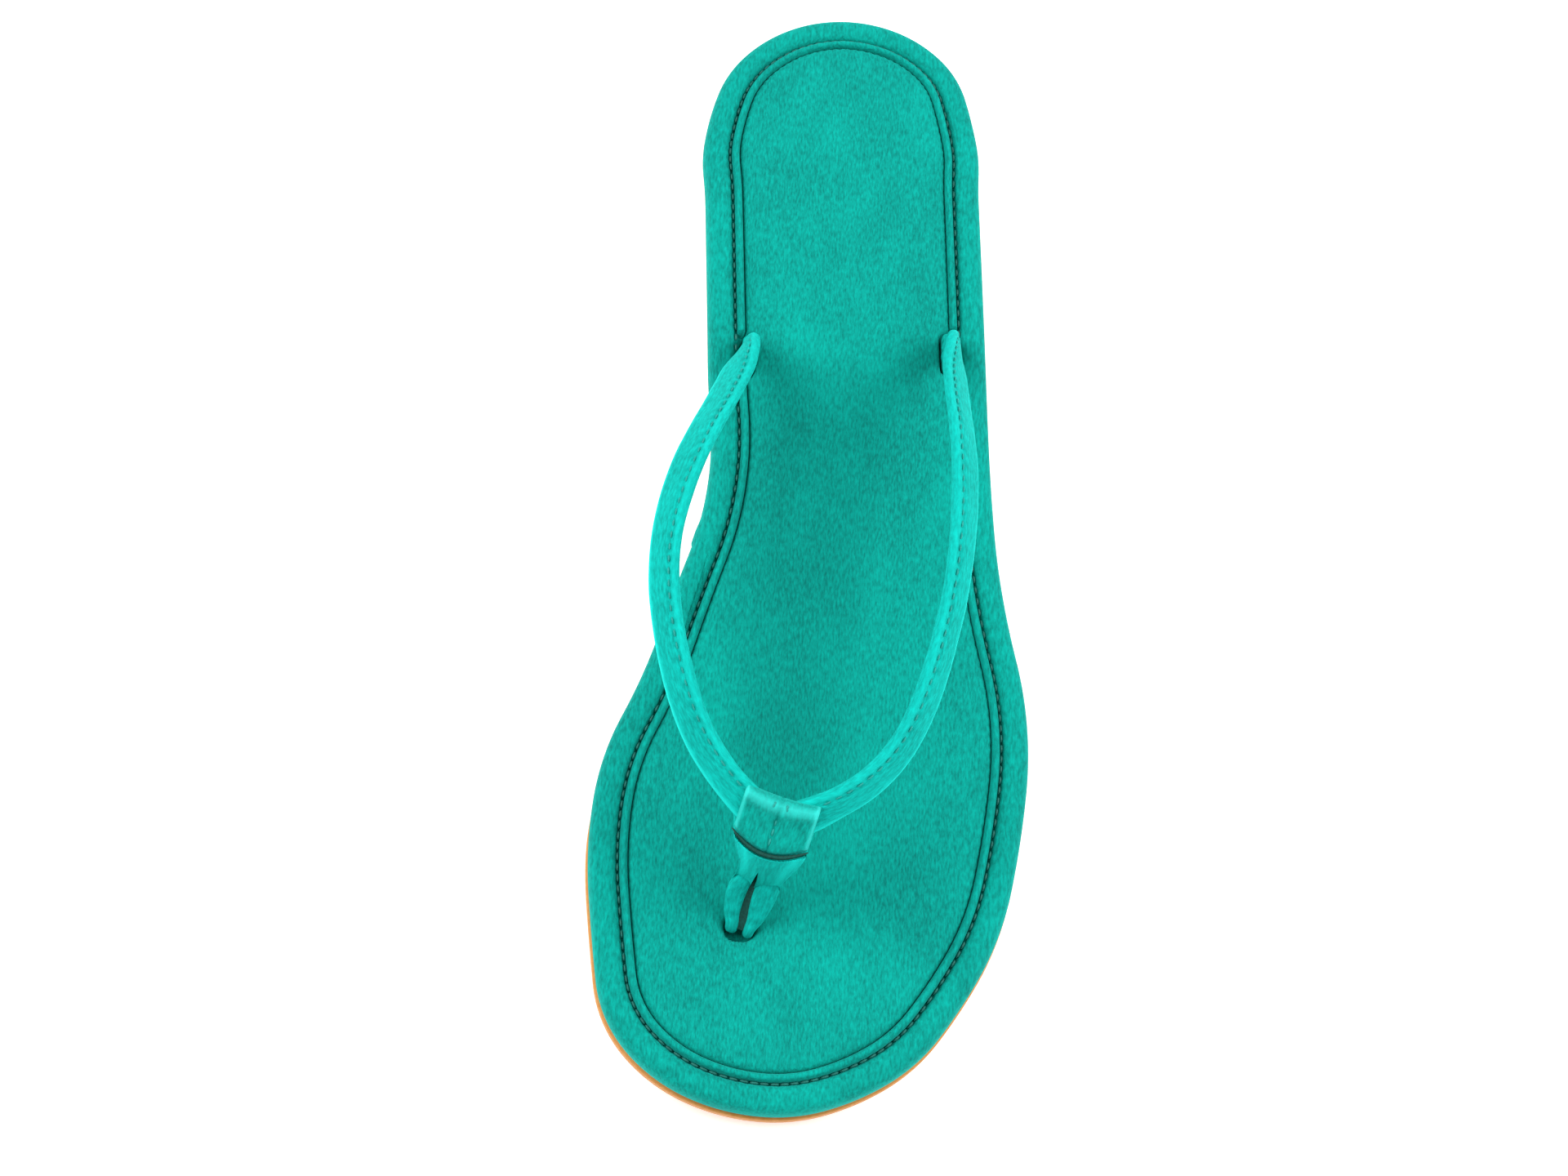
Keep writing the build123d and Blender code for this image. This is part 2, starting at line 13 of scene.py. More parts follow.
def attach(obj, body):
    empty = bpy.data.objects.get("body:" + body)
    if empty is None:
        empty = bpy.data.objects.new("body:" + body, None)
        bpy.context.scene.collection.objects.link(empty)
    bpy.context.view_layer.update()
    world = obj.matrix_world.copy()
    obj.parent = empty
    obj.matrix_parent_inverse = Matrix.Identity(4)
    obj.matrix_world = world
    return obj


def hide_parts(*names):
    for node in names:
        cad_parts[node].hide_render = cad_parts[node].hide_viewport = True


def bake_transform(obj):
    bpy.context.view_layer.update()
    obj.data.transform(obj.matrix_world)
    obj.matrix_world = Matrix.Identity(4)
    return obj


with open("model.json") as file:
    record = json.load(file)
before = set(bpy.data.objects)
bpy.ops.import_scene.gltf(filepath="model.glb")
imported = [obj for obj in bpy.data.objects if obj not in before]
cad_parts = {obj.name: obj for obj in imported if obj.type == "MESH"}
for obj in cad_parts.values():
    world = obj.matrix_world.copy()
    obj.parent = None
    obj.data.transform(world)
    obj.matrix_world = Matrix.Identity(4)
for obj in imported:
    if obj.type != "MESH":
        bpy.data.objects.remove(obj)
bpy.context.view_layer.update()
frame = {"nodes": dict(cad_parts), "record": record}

logging.basicConfig(level=logging.INFO, format="%(message)s")
log = logging.getLogger("sandal")

MM = 0.001
STITCH_PITCH = 2.4  # mm, along every seam of the sole


class Side(Enum):
    """Side of the foot; the value is the sign of X that points outward."""

    MEDIAL = -1
    LATERAL = 1


# ------------------------------------------------------------------ shader helpers
def linear(code: str) -> tuple[float, float, float, float]:
    """Turn an sRGB hex colour into the linear values that shaders take.

    Args:
        code: Colour such as "#1f9c90".

    Returns:
        Red, green, blue and alpha, linear.
    """
    values = [int(code[i : i + 2], 16) / 255 for i in (1, 3, 5)]
    return tuple(v / 12.92 if v <= 0.04045 else ((v + 0.055) / 1.055) ** 2.4 for v in values) + (1.0,)


def add_node(
    tree: bpy.types.NodeTree, kind: str, inputs: Optional[dict] = None, **settings
) -> bpy.types.Node:
    """Add one node to a tree.

    Args:
        tree: The material's node tree.
        kind: Blender's node type.
        inputs: Socket name or index to a value, or to an output socket to link from.
        settings: Attributes of the node.

    Returns:
        The new node.
    """
    node = tree.nodes.new(kind)
    for key, value in settings.items():
        setattr(node, key, value)
    for key, value in (inputs or {}).items():
        if isinstance(value, bpy.types.NodeSocket):
            tree.links.new(value, node.inputs[key])
        else:
            node.inputs[key].default_value = value
    return node


def new_material(name: str) -> tuple[bpy.types.Material, bpy.types.NodeTree, bpy.types.Node]:
    """Make an empty material with one principled shader.

    Args:
        name: The material's name.

    Returns:
        The material, its node tree and its principled node.
    """
    material = bpy.data.materials.new(name)
    material.use_nodes = True
    tree = material.node_tree
    shader = tree.nodes["Principled BSDF"]
    return material, tree, shader


def grain(
    tree: bpy.types.NodeTree, source: bpy.types.NodeSocket, across: float, along: float, detail: float
) -> bpy.types.Node:
    """Noise stretched along the nap.

    Args:
        tree: The material's node tree.
        source: Coordinates in metres, second axis along the nap.
        across: Size of a fleck across the nap, in mm.
        along: Size of a fleck along the nap, in mm.
        detail: Octaves of noise.

    Returns:
        The noise node.
    """
    stretch = (1 / (across * MM), 1 / (along * MM), 1 / (across * MM))
    scaled = add_node(tree, "ShaderNodeMapping", {"Vector": source, "Scale": stretch})
    sockets = {"Vector": scaled.outputs[0], "Scale": 1.0, "Detail": detail, "Roughness": 0.6}
    return add_node(tree, "ShaderNodeTexNoise", sockets)


@dataclass(frozen=True)
class Suede:
    """Goat suede, dyed in the drum and brushed: a matt nap of short fibres, lighter where it is
    brushed one way and darker the other, with a soft bright sheen fringe where it turns away, and the
    same light tone painted on as a highlight along the edges and folds that a per-point share marks."""

    name: str
    lit: str
    shaded: str
    # colour of the sheen, and also of the painted highlight mixed into the base colour
    sheen_and_painted_highlight: str
    fleck_across: float = 0.5  # mm; real fibres are finer, coarsened so that they survive a small picture
    fleck_along: float = 1.8
    cloud: float = 14.0  # mm, size of the brushed patches
    bump: float = 0.12  # mm

    def build(self) -> bpy.types.Material:
        """Build the material and return it."""
        material, tree, shader = new_material(self.name)
        rest = add_node(tree, "ShaderNodeAttribute", attribute_name="nap")
        fleck = grain(tree, rest.outputs["Vector"], self.fleck_across, self.fleck_along, 3.0)
        cloud = grain(tree, rest.outputs["Vector"], self.cloud, self.cloud * 1.8, 2.0)
        brushed = add_node(tree, "ShaderNodeMath", {0: cloud.outputs[0], 1: 0.35}, operation="MULTIPLY")
        both = add_node(tree, "ShaderNodeMath", {0: fleck.outputs[0], 1: brushed.outputs[0]}, operation="ADD")
        share = add_node(
            tree, "ShaderNodeMapRange", {"Value": both.outputs[0], "From Min": 0.45, "From Max": 0.90}
        )
        colour = add_node(
            tree,
            "ShaderNodeMix",
            {0: share.outputs[0], 6: linear(self.shaded), 7: linear(self.lit)},
            data_type="RGBA",
        )
        # Painted highlight: the colour is mixed toward the light fringe tone by a per-point share, for light
        # on edges and folds
        highlight_attribute = add_node(tree, "ShaderNodeAttribute", attribute_name="painted_highlight")
        colour = add_node(
            tree,
            "ShaderNodeMix",
            {0: highlight_attribute.outputs["Fac"], 6: colour.outputs[2], 7: linear(self.sheen_and_painted_highlight)},
            data_type="RGBA",
        )
        height = add_node(
            tree,
            "ShaderNodeBump",
            {"Height": fleck.outputs[0], "Distance": self.bump * MM, "Strength": 0.7},
        )
        tree.links.new(colour.outputs[2], shader.inputs["Base Color"])
        tree.links.new(height.outputs[0], shader.inputs["Normal"])
        shader.inputs["Roughness"].default_value = 0.92
        shader.inputs["Specular IOR Level"].default_value = 0.12
        shader.inputs["Sheen Weight"].default_value = 0.45
        shader.inputs["Sheen Roughness"].default_value = 0.45
        shader.inputs["Sheen Tint"].default_value = linear(self.sheen_and_painted_highlight)
        return material


@dataclass(frozen=True)
class Speckled:
    """A matt or satin stuff with one grain: rubber, cork, board, foam, tape or thread."""

    name: str
    base: str
    fleck: str
    roughness: float
    grain_mm: float
    stretch: float = 1.0
    bump: float = 0.05  # mm
    contrast: float = 0.35

    def build(self) -> bpy.types.Material:
        """Build the material and return it."""
        material, tree, shader = new_material(self.name)
        place = add_node(tree, "ShaderNodeTexCoord")
        speck = grain(tree, place.outputs["Object"], self.grain_mm, self.grain_mm * self.stretch, 4.0)
        share = add_node(
            tree,
            "ShaderNodeMapRange",
            {
                "Value": speck.outputs[0],
                "From Min": 0.5 - self.contrast / 2,
                "From Max": 0.5 + self.contrast / 2,
            },
        )
        colour = add_node(
            tree,
            "ShaderNodeMix",
            {0: share.outputs[0], 6: linear(self.base), 7: linear(self.fleck)},
            data_type="RGBA",
        )
        height = add_node(
            tree, "ShaderNodeBump", {"Height": speck.outputs[0], "Distance": self.bump * MM, "Strength": 0.6}
        )
        tree.links.new(colour.outputs[2], shader.inputs["Base Color"])
        tree.links.new(height.outputs[0], shader.inputs["Normal"])
        shader.inputs["Roughness"].default_value = self.roughness
        return material


@dataclass(frozen=True)
class BrushedSteel:
    """Spring steel strip and tack wire: rolled, lightly oiled, with fine lines along the rolling."""

    name: str = "steel"
    colour: str = "#9a9c9f"
    line_mm: float = 0.3

    def build(self) -> bpy.types.Material:
        """Build the material and return it."""
        material, tree, shader = new_material(self.name)
        place = add_node(tree, "ShaderNodeTexCoord")
        lines = grain(tree, place.outputs["Object"], self.line_mm, self.line_mm * 30, 2.0)
        rough = add_node(
            tree, "ShaderNodeMapRange", {"Value": lines.outputs[0], "To Min": 0.3, "To Max": 0.45}
        )
        shader.inputs["Base Color"].default_value = linear(self.colour)
        shader.inputs["Metallic"].default_value = 1.0
        tree.links.new(rough.outputs[0], shader.inputs["Roughness"])
        return material


# ------------------------------------------------------------------ mesh helpers
def smooth_step(low: float, high: float, value: np.ndarray) -> np.ndarray:
    """Ease from 0 at low to 1 at high."""
    share = np.clip((value - low) / (high - low), 0, 1)
    return share * share * (3 - 2 * share)


def ripple(points: np.ndarray, size: float, seed: int) -> np.ndarray:
    """Gentle uneven waves, the same on every run.

    Args:
        points: Positions in mm, last axis X, Y and more.
        size: Typical wave length in mm.
        seed: Picks the waves.

    Returns:
        A value near -1 to 1 for each point.
    """
    dice = np.random.default_rng(seed)
    total = np.zeros(points.shape[:-1])
    for _ in range(9):
        heading = dice.uniform(0, 2 * math.pi)
        number = 2 * math.pi / (size * dice.uniform(0.7, 1.6))
        phase = dice.uniform(0, 2 * math.pi)
        along = points[..., 0] * math.cos(heading) + points[..., 1] * math.sin(heading)
        total += np.sin(along * number + phase)
    return total / 4.5


def grid_faces(rows: int, columns: int, close_rows: bool, close_columns: bool, base: int = 0) -> list:
    """Quads of a grid of points, row by row.

    Args:
        rows: Number of rows of points.
        columns: Points in a row.
        close_rows: Whether the last row joins the first.
        close_columns: Whether each row is a ring.
        base: Index of the grid's first point.

    Returns:
        Faces as tuples of point indices.
    """
    faces = []
    for i in range(rows if close_rows else rows - 1):
        for j in range(columns if close_columns else columns - 1):
            k = (i + 1) % rows
            m = (j + 1) % columns
            row, after = base + i * columns, base + k * columns
            faces.append((row + j, after + j, after + m, row + m))
    return faces


def make_mesh(
    name: str,
    points: np.ndarray,
    faces: list,
    material: bpy.types.Material,
    nap: Optional[np.ndarray] = None,
    painted_highlight: Optional[np.ndarray] = None,
) -> bpy.types.Object:
    """Make a smooth-shaded mesh object.

    Args:
        name: The object's name.
        points: Positions in mm, one row each.
        faces: Faces as tuples of point indices.
        material: Its material.
        nap: Coordinates for the nap in mm; the positions when left out.
        painted_highlight: Share of painted highlight at each point, 0 to 1, toward the light fringe tone.

    Returns:
        The object, in the scene.
    """
    mesh = bpy.data.meshes.new(name)
    mesh.from_pydata((points * MM).tolist(), [], faces)
    mesh.polygons.foreach_set("use_smooth", [True] * len(mesh.polygons))
    attribute = mesh.attributes.new("nap", "FLOAT_VECTOR", "POINT")
    attribute.data.foreach_set("vector", ((points if nap is None else nap) * MM).astype(np.float32).ravel())
    # Painted highlight share, read by the suede material
    if painted_highlight is not None:
        highlight_attribute = mesh.attributes.new("painted_highlight", "FLOAT", "POINT")
        highlight_attribute.data.foreach_set("value", painted_highlight.astype(np.float32).ravel())
    mesh.materials.append(material)
    mesh.update()
    thing = bpy.data.objects.new(name, mesh)
    bpy.context.collection.objects.link(thing)
    return thing


@dataclass(frozen=True)
class Placement:
    """How a finished piece is placed: parented to a CAD body, or, with a bend, left unparented with its
    transform baked; and which CAD nodes it stands for. The slot is kept but not used.
    """

    slot: str
    body: Optional[str] = None
    bend: Optional[tuple] = None  # two bodies, start and end, in mm
    stands_for: tuple = ()

    def apply(self, thing: bpy.types.Object) -> bpy.types.Object:
        """Place a piece.

        Args:
            thing: The finished mesh.

        Returns:
            The same object.
        """
        if self.bend:
            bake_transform(thing)
        else:
            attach(thing, self.body)
        if self.stands_for:
            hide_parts(*self.stands_for)
        log.info("%s: %d points", thing.name, len(thing.data.vertices))
        return thing


# ------------------------------------------------------------------ form of the sole
@dataclass(frozen=True)
class SoleForm:
    """Plan and side view of the sole, in mm."""

    length: float = 250.0
    heel: float = 31.0  # half width at the heel
    ball_medial: float = 44.0
    ball_lateral: float = 46.0
    waist_medial: float = 24.7
    waist_lateral: float = 38.0
    medial_slot: tuple = (26.8, 86.5)  # half width, distance from the heel
    lateral_slot: tuple = (34.6, 82.5)
    tip_offset: float = 6.0
    heel_height: float = 8.4
    ball_height: float = 3.6
    wedge: tuple = (75.0, -5.0)
    spring: float = 4.5
    spring_start: float = -62.0
    flex_y: float = -46.0
    flex_reach: float = 13.0  # how far either side of the flex line the sole bends

    def stations(self) -> list[Vector]:
        """Points that the outline passes through, clockwise from the heel."""
        half = self.length / 2
        heel, inner, outer = self.heel, self.ball_medial, self.ball_lateral
        return [
            Vector(p)
            for p in (
                (0.0, half),
                (0.72 * heel, 0.93 * half),
                (heel, 0.76 * half),
                (1.03 * heel, 0.64 * half),
                (self.lateral_slot[0], half - self.lateral_slot[1]),
                (self.waist_lateral, 0.03 * half),
                (outer, -0.43 * half),
                (0.80 * outer, -0.75 * half),
                (0.42 * outer, -0.93 * half),
                (-self.tip_offset, -half),
                (-0.74 * inner, -0.92 * half),
                (-0.985 * inner, -0.66 * half),
                (-inner, -0.50 * half),
                (-0.75 * inner, -0.20 * half),
                (-self.waist_medial, 0.10 * half),
                (-self.medial_slot[0], half - self.medial_slot[1]),
                (-0.96 * heel, 0.60 * half),
                (-heel, 0.73 * half),
                (-0.75 * heel, 0.91 * half),
            )
        ]

    @staticmethod
    def _arc(start: Vector, heading: Vector, end: Vector) -> list[Vector]:
        """Points of the arc from start to end that leaves along heading."""
        chord = end - start
        cross = heading.x * chord.y - heading.y * chord.x
        turn = 2 * math.atan2(cross, heading.dot(chord))
        if abs(turn) < 1e-5:
            return [start + chord * (i / 20) for i in range(20)]
        radius = chord.length / (2 * math.sin(turn / 2))
        angle = math.atan2(heading.y, heading.x)
        points = []
        for i in range(40):
            now = angle + turn * i / 40
            step = Vector((math.sin(now) - math.sin(angle), math.cos(angle) - math.cos(now)))
            points.append(start + step * radius)
        return points

    def outline(self) -> np.ndarray:
        """Closed outline as a dense chain of points."""
        points = self.stations()
        count = len(points)
        headings = []
        for i, point in enumerate(points):
            before = point - points[i - 1]
            after = points[(i + 1) % count] - point
            headings.append((before / before.length_squared + after / after.length_squared).normalized())
        chain = []
        for i, start in enumerate(points):
            end = points[(i + 1) % count]
            leave, arrive = headings[i], headings[(i + 1) % count]
            chord = end - start
            spread = 2 * (1 - leave.dot(arrive))
            along = chord.dot(leave + arrive)
            reach = (math.sqrt(along**2 + spread * chord.dot(chord)) - along) / spread
            middle = (start + end + (leave - arrive) * reach) * 0.5
            joint = 2 * (middle - start).normalized().dot(leave) * (middle - start).normalized() - leave
            chain += self._arc(start, leave, middle) + self._arc(middle, joint.normalized(), end)
        return np.array(chain)

    def top(self, y: np.ndarray) -> np.ndarray:
        """Height of the outsole's top at y."""
        drop = self.heel_height - self.ball_height
        start, end = self.wedge
        radius = ((start - end) ** 2 + drop**2) / (4 * drop)
        middle = (start + end) / 2
        first = self.heel_height - radius + np.sqrt(radius**2 - np.clip(start - y, 0, start - middle) ** 2)
        second = self.ball_height + radius - np.sqrt(radius**2 - np.clip(y - end, 0, middle - end) ** 2)
        return np.where(y > middle, first, second) + self.rise(y)

    def rise(self, y: np.ndarray) -> np.ndarray:
        """How far the underside is off the ground at y."""
        run = self.length / 2 + self.spring_start
        radius = (run**2 + self.spring**2) / (2 * self.spring)
        return radius - np.sqrt(radius**2 - np.clip(self.spring_start - y, 0, run + 1) ** 2)


class Edge:
    """The sole's outline as even stations, with the way inward at each."""

    def __init__(self, form: SoleForm, count: int) -> None:
        """Place the stations.

        Args:
            form: The sole.
            count: Number of stations round it.
        """
        chain = form.outline()
        closed = np.vstack([chain, chain[:1]])
        run = np.concatenate([[0], np.cumsum(np.linalg.norm(np.diff(closed, axis=0), axis=1))])
        self.form = form
        self.length = float(run[-1])
        self.run = np.linspace(0, self.length, count, endpoint=False)
        self.points = np.stack([np.interp(self.run, run, closed[:, k]) for k in (0, 1)], axis=1)
        ahead = np.roll(self.points, -3, axis=0) - np.roll(self.points, 3, axis=0)
        ahead /= np.linalg.norm(ahead, axis=1, keepdims=True)
        self.inward = np.stack([ahead[:, 1], -ahead[:, 0]], axis=1)

    def at(self, inset: np.ndarray) -> np.ndarray:
        """Plan of the points that lie inset from the edge, one for each station."""
        return self.points + self.inward * np.broadcast_to(inset, (len(self.points),))[:, None]

    def walk(self, run: np.ndarray, inset: np.ndarray) -> np.ndarray:
        """Plan of places at lengths round the outline, inset from the edge."""
        closed = np.append(self.run, self.length)
        place, inward = (np.vstack([v, v[:1]]) for v in (self.points, self.inward))
        run = np.mod(run, self.length)
        base = np.stack([np.interp(run, closed, place[:, k]) for k in (0, 1)], axis=-1)
        way = np.stack([np.interp(run, closed, inward[:, k]) for k in (0, 1)], axis=-1)
        return base + way * np.asarray(inset)[..., None]

    def nearest(self, x: float, y: float) -> int:
        """Station nearest to a place."""
        return int(np.argmin(np.hypot(self.points[:, 0] - x, self.points[:, 1] - y)))


@dataclass(frozen=True)
class Opening:
    """A slot or hole that the suede is pulled down into, in mm."""

    x: float
    y: float
    length: float
    width: float
    turn: float = 0.0  # degrees
    depth: float = 5.5
    lip: float = 0.45  # how far the surface round it is drawn down

    def gap(self, x: np.ndarray, y: np.ndarray) -> np.ndarray:
        """Distance from the rim of the opening, negative inside."""
        angle = math.radians(self.turn)
        across = (x - self.x) * math.cos(angle) + (y - self.y) * math.sin(angle)
        along = -(x - self.x) * math.sin(angle) + (y - self.y) * math.cos(angle)
        straight = np.maximum(np.abs(along) - (self.length - self.width) / 2, 0)
        return np.hypot(across, straight) - self.width / 2

    def drop(self, x: np.ndarray, y: np.ndarray) -> np.ndarray:
        """How far the surface goes down at each point."""
        gap = self.gap(x, y)
        hole = self.depth * (1 - smooth_step(-0.55, 0.25, gap))
        return hole + self.lip * np.exp(-np.maximum(gap, 0) / 1.3)


FORM = SoleForm()
SLOTS = {
    Side.MEDIAL: Opening(-17.9, 38.3, 10.0, 3.9, -4.5),
    Side.LATERAL: Opening(25.7, 42.4, 10.0, 3.9, 4.5),
}
TOE_HOLE = Opening(-12.1, -87.7, 6.6, 5.2, 90.0, 3.5, 0.8)


def flex(form: SoleForm) -> tuple:
    """Bend of a piece that crosses the flex line."""
    start = (0, form.flex_y + form.flex_reach, 0)
    end = (0, form.flex_y - form.flex_reach, 0)
    return ("rear_sole", "forefoot", start, end)


def both_halves(layer: str) -> tuple:
    """The two CAD nodes of a layer of the sole."""
    return (f"{layer}_rear", f"{layer}_front")


def profile_curve(knots: Sequence[tuple], count: int) -> np.ndarray:
    """Round a chain of profile knots into a smooth line.

    Args:
        knots: Inset and height of each knot, in mm.
        count: Points wanted.

    Returns:
        The points, evenly spread along the line.
    """
    points = np.array(knots, float)
    for _ in range(3):
        inner = np.empty((2 * len(points) - 2, 2))
        inner[0::2] = points[:-1] * 0.75 + points[1:] * 0.25
        inner[1::2] = points[:-1] * 0.25 + points[1:] * 0.75
        points = np.vstack([points[:1], inner, points[-1:]])
    run = np.concatenate([[0], np.cumsum(np.linalg.norm(np.diff(points, axis=0), axis=1))])
    return np.stack([np.interp(np.linspace(0, run[-1], count), run, points[:, k]) for k in (0, 1)], axis=1)


@dataclass
class Outsole:
    """Moulded rubber outsole: side wall, flange under the rim strip, and a ribbed tread."""

    form: SoleForm
    groove_depth: float = 0.8
    groove_width: float = 2.0
    pitch: float = 7.0
    border: float = 12.0
    tuck: tuple = (1.5, 2.6)  # how far the waist and heel are drawn in, at the top and at the ground
    wall: tuple = (
        (9.0, 0.0), (1.2, 0.0), (0.45, 0.06), (0.1, 0.4), (0.0, 1.0), (0.0, -0.8), (0.05, -0.25),
        (0.25, 0.0), (3.5, 0.0),
    )

    def side_wall(self, material: bpy.types.Material) -> bpy.types.Object:
        """Build the wall, with its rounded lower edge and the flange on top."""
        edge = Edge(self.form, 900)
        rows = []
        drawn = smooth_step(-75.0, -45.0, edge.points[:, 1])
        for index, (inset, level) in enumerate(self.wall):
            plan = edge.at(inset + drawn * self.tuck[0 if index > 4 else 1])
            base = self.form.rise(plan[:, 1]) if index < 5 else self.form.top(plan[:, 1])
            rows.append(np.column_stack([plan, base + level]))
        points = np.concatenate(rows)
        faces = grid_faces(len(rows), len(edge.points), False, True)
        return make_mesh("outsole_wall", points, faces, material)

    def tread(self, material: bpy.types.Material) -> bpy.types.Object:
        """Build the underside as rows across the sole, stepped at each groove."""
        edge = Edge(self.form, 1400)
        outer = edge.at(0.8 + smooth_step(-75.0, -45.0, edge.points[:, 1]) * self.tuck[1])
        inner = edge.at(np.array(self.border))
        half = self.form.length / 2
        steps = []
        for k in range(-17, 17):
            middle = (k + 0.5) * self.pitch
            near, far = middle - self.groove_width / 2, middle + self.groove_width / 2
            steps += [(near, 0.0), (near + 0.15, 1.0), (far - 0.15, 1.0), (far, 0.0)]
        from_edge = (1.1, 1.8, 3.0, 4.2)
        ends = [(-half + d, 0.0) for d in from_edge] + [(half - d, 0.0) for d in reversed(from_edge)]
        steps = sorted(steps + [s for s in ends if all(abs(s[0] - t[0]) > 0.3 for t in steps)])
        rows = []
        for y, cut in steps:
            left, right = self._reach(outer, y)
            low, high = self._reach(inner, y)
            if left is None:
                continue
            if low is None:
                low, high, cut = (left * 0.6 + right * 0.4), (left * 0.4 + right * 0.6), 0.0
            base = float(self.form.rise(np.array(y)))
            depth = cut * self.groove_depth
            row = [(left, y, base), (low, y, base), (low + 0.15, y, base + depth)]
            row += [(low + (high - low) * t, y, base + depth) for t in (0.25, 0.5, 0.75)]
            row += [(high - 0.15, y, base + depth), (high, y, base), (right, y, base)]
            rows.append(row)
        points = np.array(rows).reshape(-1, 3)
        faces = grid_faces(len(rows), len(rows[0]), False, False)
        thing = make_mesh("outsole_tread", points, faces, material)
        thing.data.polygons.foreach_set("use_smooth", [False] * len(thing.data.polygons))
        return thing

    @staticmethod
    def _reach(plan: np.ndarray, y: float) -> tuple:
        """X of the two sides of a closed plan at y, or None where it doesn't reach."""
        after = np.roll(plan, -1, axis=0)
        crossing = (plan[:, 1] - y) * (after[:, 1] - y) < 0
        if crossing.sum() < 2:
            return None, None
        share = (y - plan[crossing, 1]) / (after[crossing, 1] - plan[crossing, 1])
        x = plan[crossing, 0] + share * (after[crossing, 0] - plan[crossing, 0])
        return float(x.min()), float(x.max())

    def dress(self, material: bpy.types.Material) -> None:
        """Build and place both meshes."""
        place = Placement("sole_rubber", bend=flex(self.form), stands_for=both_halves("outsole"))
        place.apply(self.side_wall(material))
        Placement("sole_rubber", bend=flex(self.form)).apply(self.tread(material))


@dataclass
class RimStrip:
    """Suede strip wrapped over the sole's edge. At the inner waist its rear end laps over its front
    one: cut in a curve, with a tongue that runs on along the groove."""

    form: SoleForm
    stations: int = 1600
    lap_at: tuple = (-24.7, -2.0)
    lap_cut: float = 3.0  # mm that the cut end laps at the sole's edge
    tongue: float = 17.0  # mm that the tongue runs on
    lap_lift: float = 0.35
    pucker: float = 0.14
    knots: tuple = (
        (2.6, 0.10), (1.1, 0.08), (0.62, 0.45), (0.42, 1.6), (0.40, 3.0), (0.62, 4.5), (1.15, 5.65),
        (2.1, 6.35),
        (3.4, 6.62), (4.7, 6.5), (5.6, 6.1), (6.05, 5.5), (6.2, 4.7), (6.6, 4.3), (8.9, 4.2),
    )

    def build(self, material: bpy.types.Material) -> bpy.types.Object:
        """Build the strip as one open sweep.

        Args:
            material: Suede.

        Returns:
            The mesh.
        """
        edge = Edge(self.form, self.stations)
        first = edge.run[edge.nearest(*self.lap_at)]
        rows = []
        for inset, level in profile_curve(self.knots, 40):
            reach = float(smooth_step(2.0, 6.2, np.array(inset)))
            tongue = self.tongue * float(smooth_step(4.6, 5.6, np.array(inset)))
            lapped = self.lap_cut * (1 + 1.2 * reach) + tongue
            share = np.linspace(0, 1, 90, endpoint=False)
            run = np.concatenate([-lapped * (1 - share), np.linspace(0, edge.length, self.stations)])
            rise = smooth_step(-lapped - 0.01, -lapped + 0.9, run)
            lift = self.lap_lift * (1 - smooth_step(0, 4.0, run)) * rise
            lift = lift * (1 - 0.5 * float(smooth_step(5.2, 6.4, np.array(inset))))
            beside = math.exp(-(((inset - 6.0) / 0.8) ** 2))
            hollow = self.pucker * np.cos(2 * math.pi * run / STITCH_PITCH) * beside
            wall = 1 - min(max((level - 4.5) / 2, 0), 1)
            spot = edge.walk(run + first, inset - lift * wall)
            wave = 0.12 * ripple(spot, 22.0, 3) * math.exp(-(((inset - 3.0) / 2.5) ** 2))
            height = self.form.top(spot[:, 1]) + level + lift * (1 - wall) + wave + hollow
            if inset > 6.3:
                for opening in SLOTS.values():
                    height = height - opening.drop(spot[:, 0], spot[:, 1]) * 0.8
            rows.append(np.column_stack([spot, height]))
        points = np.concatenate(rows)
        return make_mesh("rim_strip", points, grid_faces(len(rows), len(rows[0]), False, False), material)

    def dress(self, material: bpy.types.Material) -> None:
        """Build and place the strip."""
        place = Placement("suede", bend=flex(self.form), stands_for=both_halves("rim_wrap"))
        place.apply(self.build(material))


@dataclass
class Piping:
    """Covered cord between the rim strip and the footbed, which stops at the strap slots."""

    form: SoleForm
    stations: int = 1600
    knots: tuple = (
        (6.72, 4.2), (6.74, 5.6), (6.92, 6.55), (7.3, 7.05), (7.65, 7.15), (8.0, 7.05), (8.36, 6.5),
        (8.48, 5.6), (8.5, 4.2),
    )

    def build(self, material: bpy.types.Material) -> bpy.types.Object:
        """Build the piping, pressed flat where it ends at the slots.

        Args:
            material: Suede.

        Returns:
            The mesh.
        """
        edge = Edge(self.form, self.stations)
        profile = profile_curve(self.knots, 18)
        middle = edge.at(np.array(7.6))
        press = np.zeros(self.stations)
        for opening in SLOTS.values():
            gap = opening.gap(middle[:, 0], middle[:, 1])
            press = np.maximum(press, 1 - smooth_step(0.1, 1.5, gap))
        bead = 0.05 * np.cos(2 * math.pi * edge.run / STITCH_PITCH)
        rows = []
        for inset, level in profile:
            squeezed = 7.6 + (inset - 7.6) * (1 - 0.55 * press)
            plan = edge.at(squeezed)
            height = self.form.top(plan[:, 1]) + np.maximum(level + bead * (level > 6) - 4.6 * press, 2.4)
            rows.append(np.column_stack([plan, height]))
        points = np.concatenate(rows)
        return make_mesh("piping", points, grid_faces(len(rows), self.stations, False, True), material)

    def dress(self, material: bpy.types.Material) -> None:
        """Build and place the piping."""
        Placement("suede", bend=flex(self.form), stands_for=both_halves("piping")).apply(self.build(material))


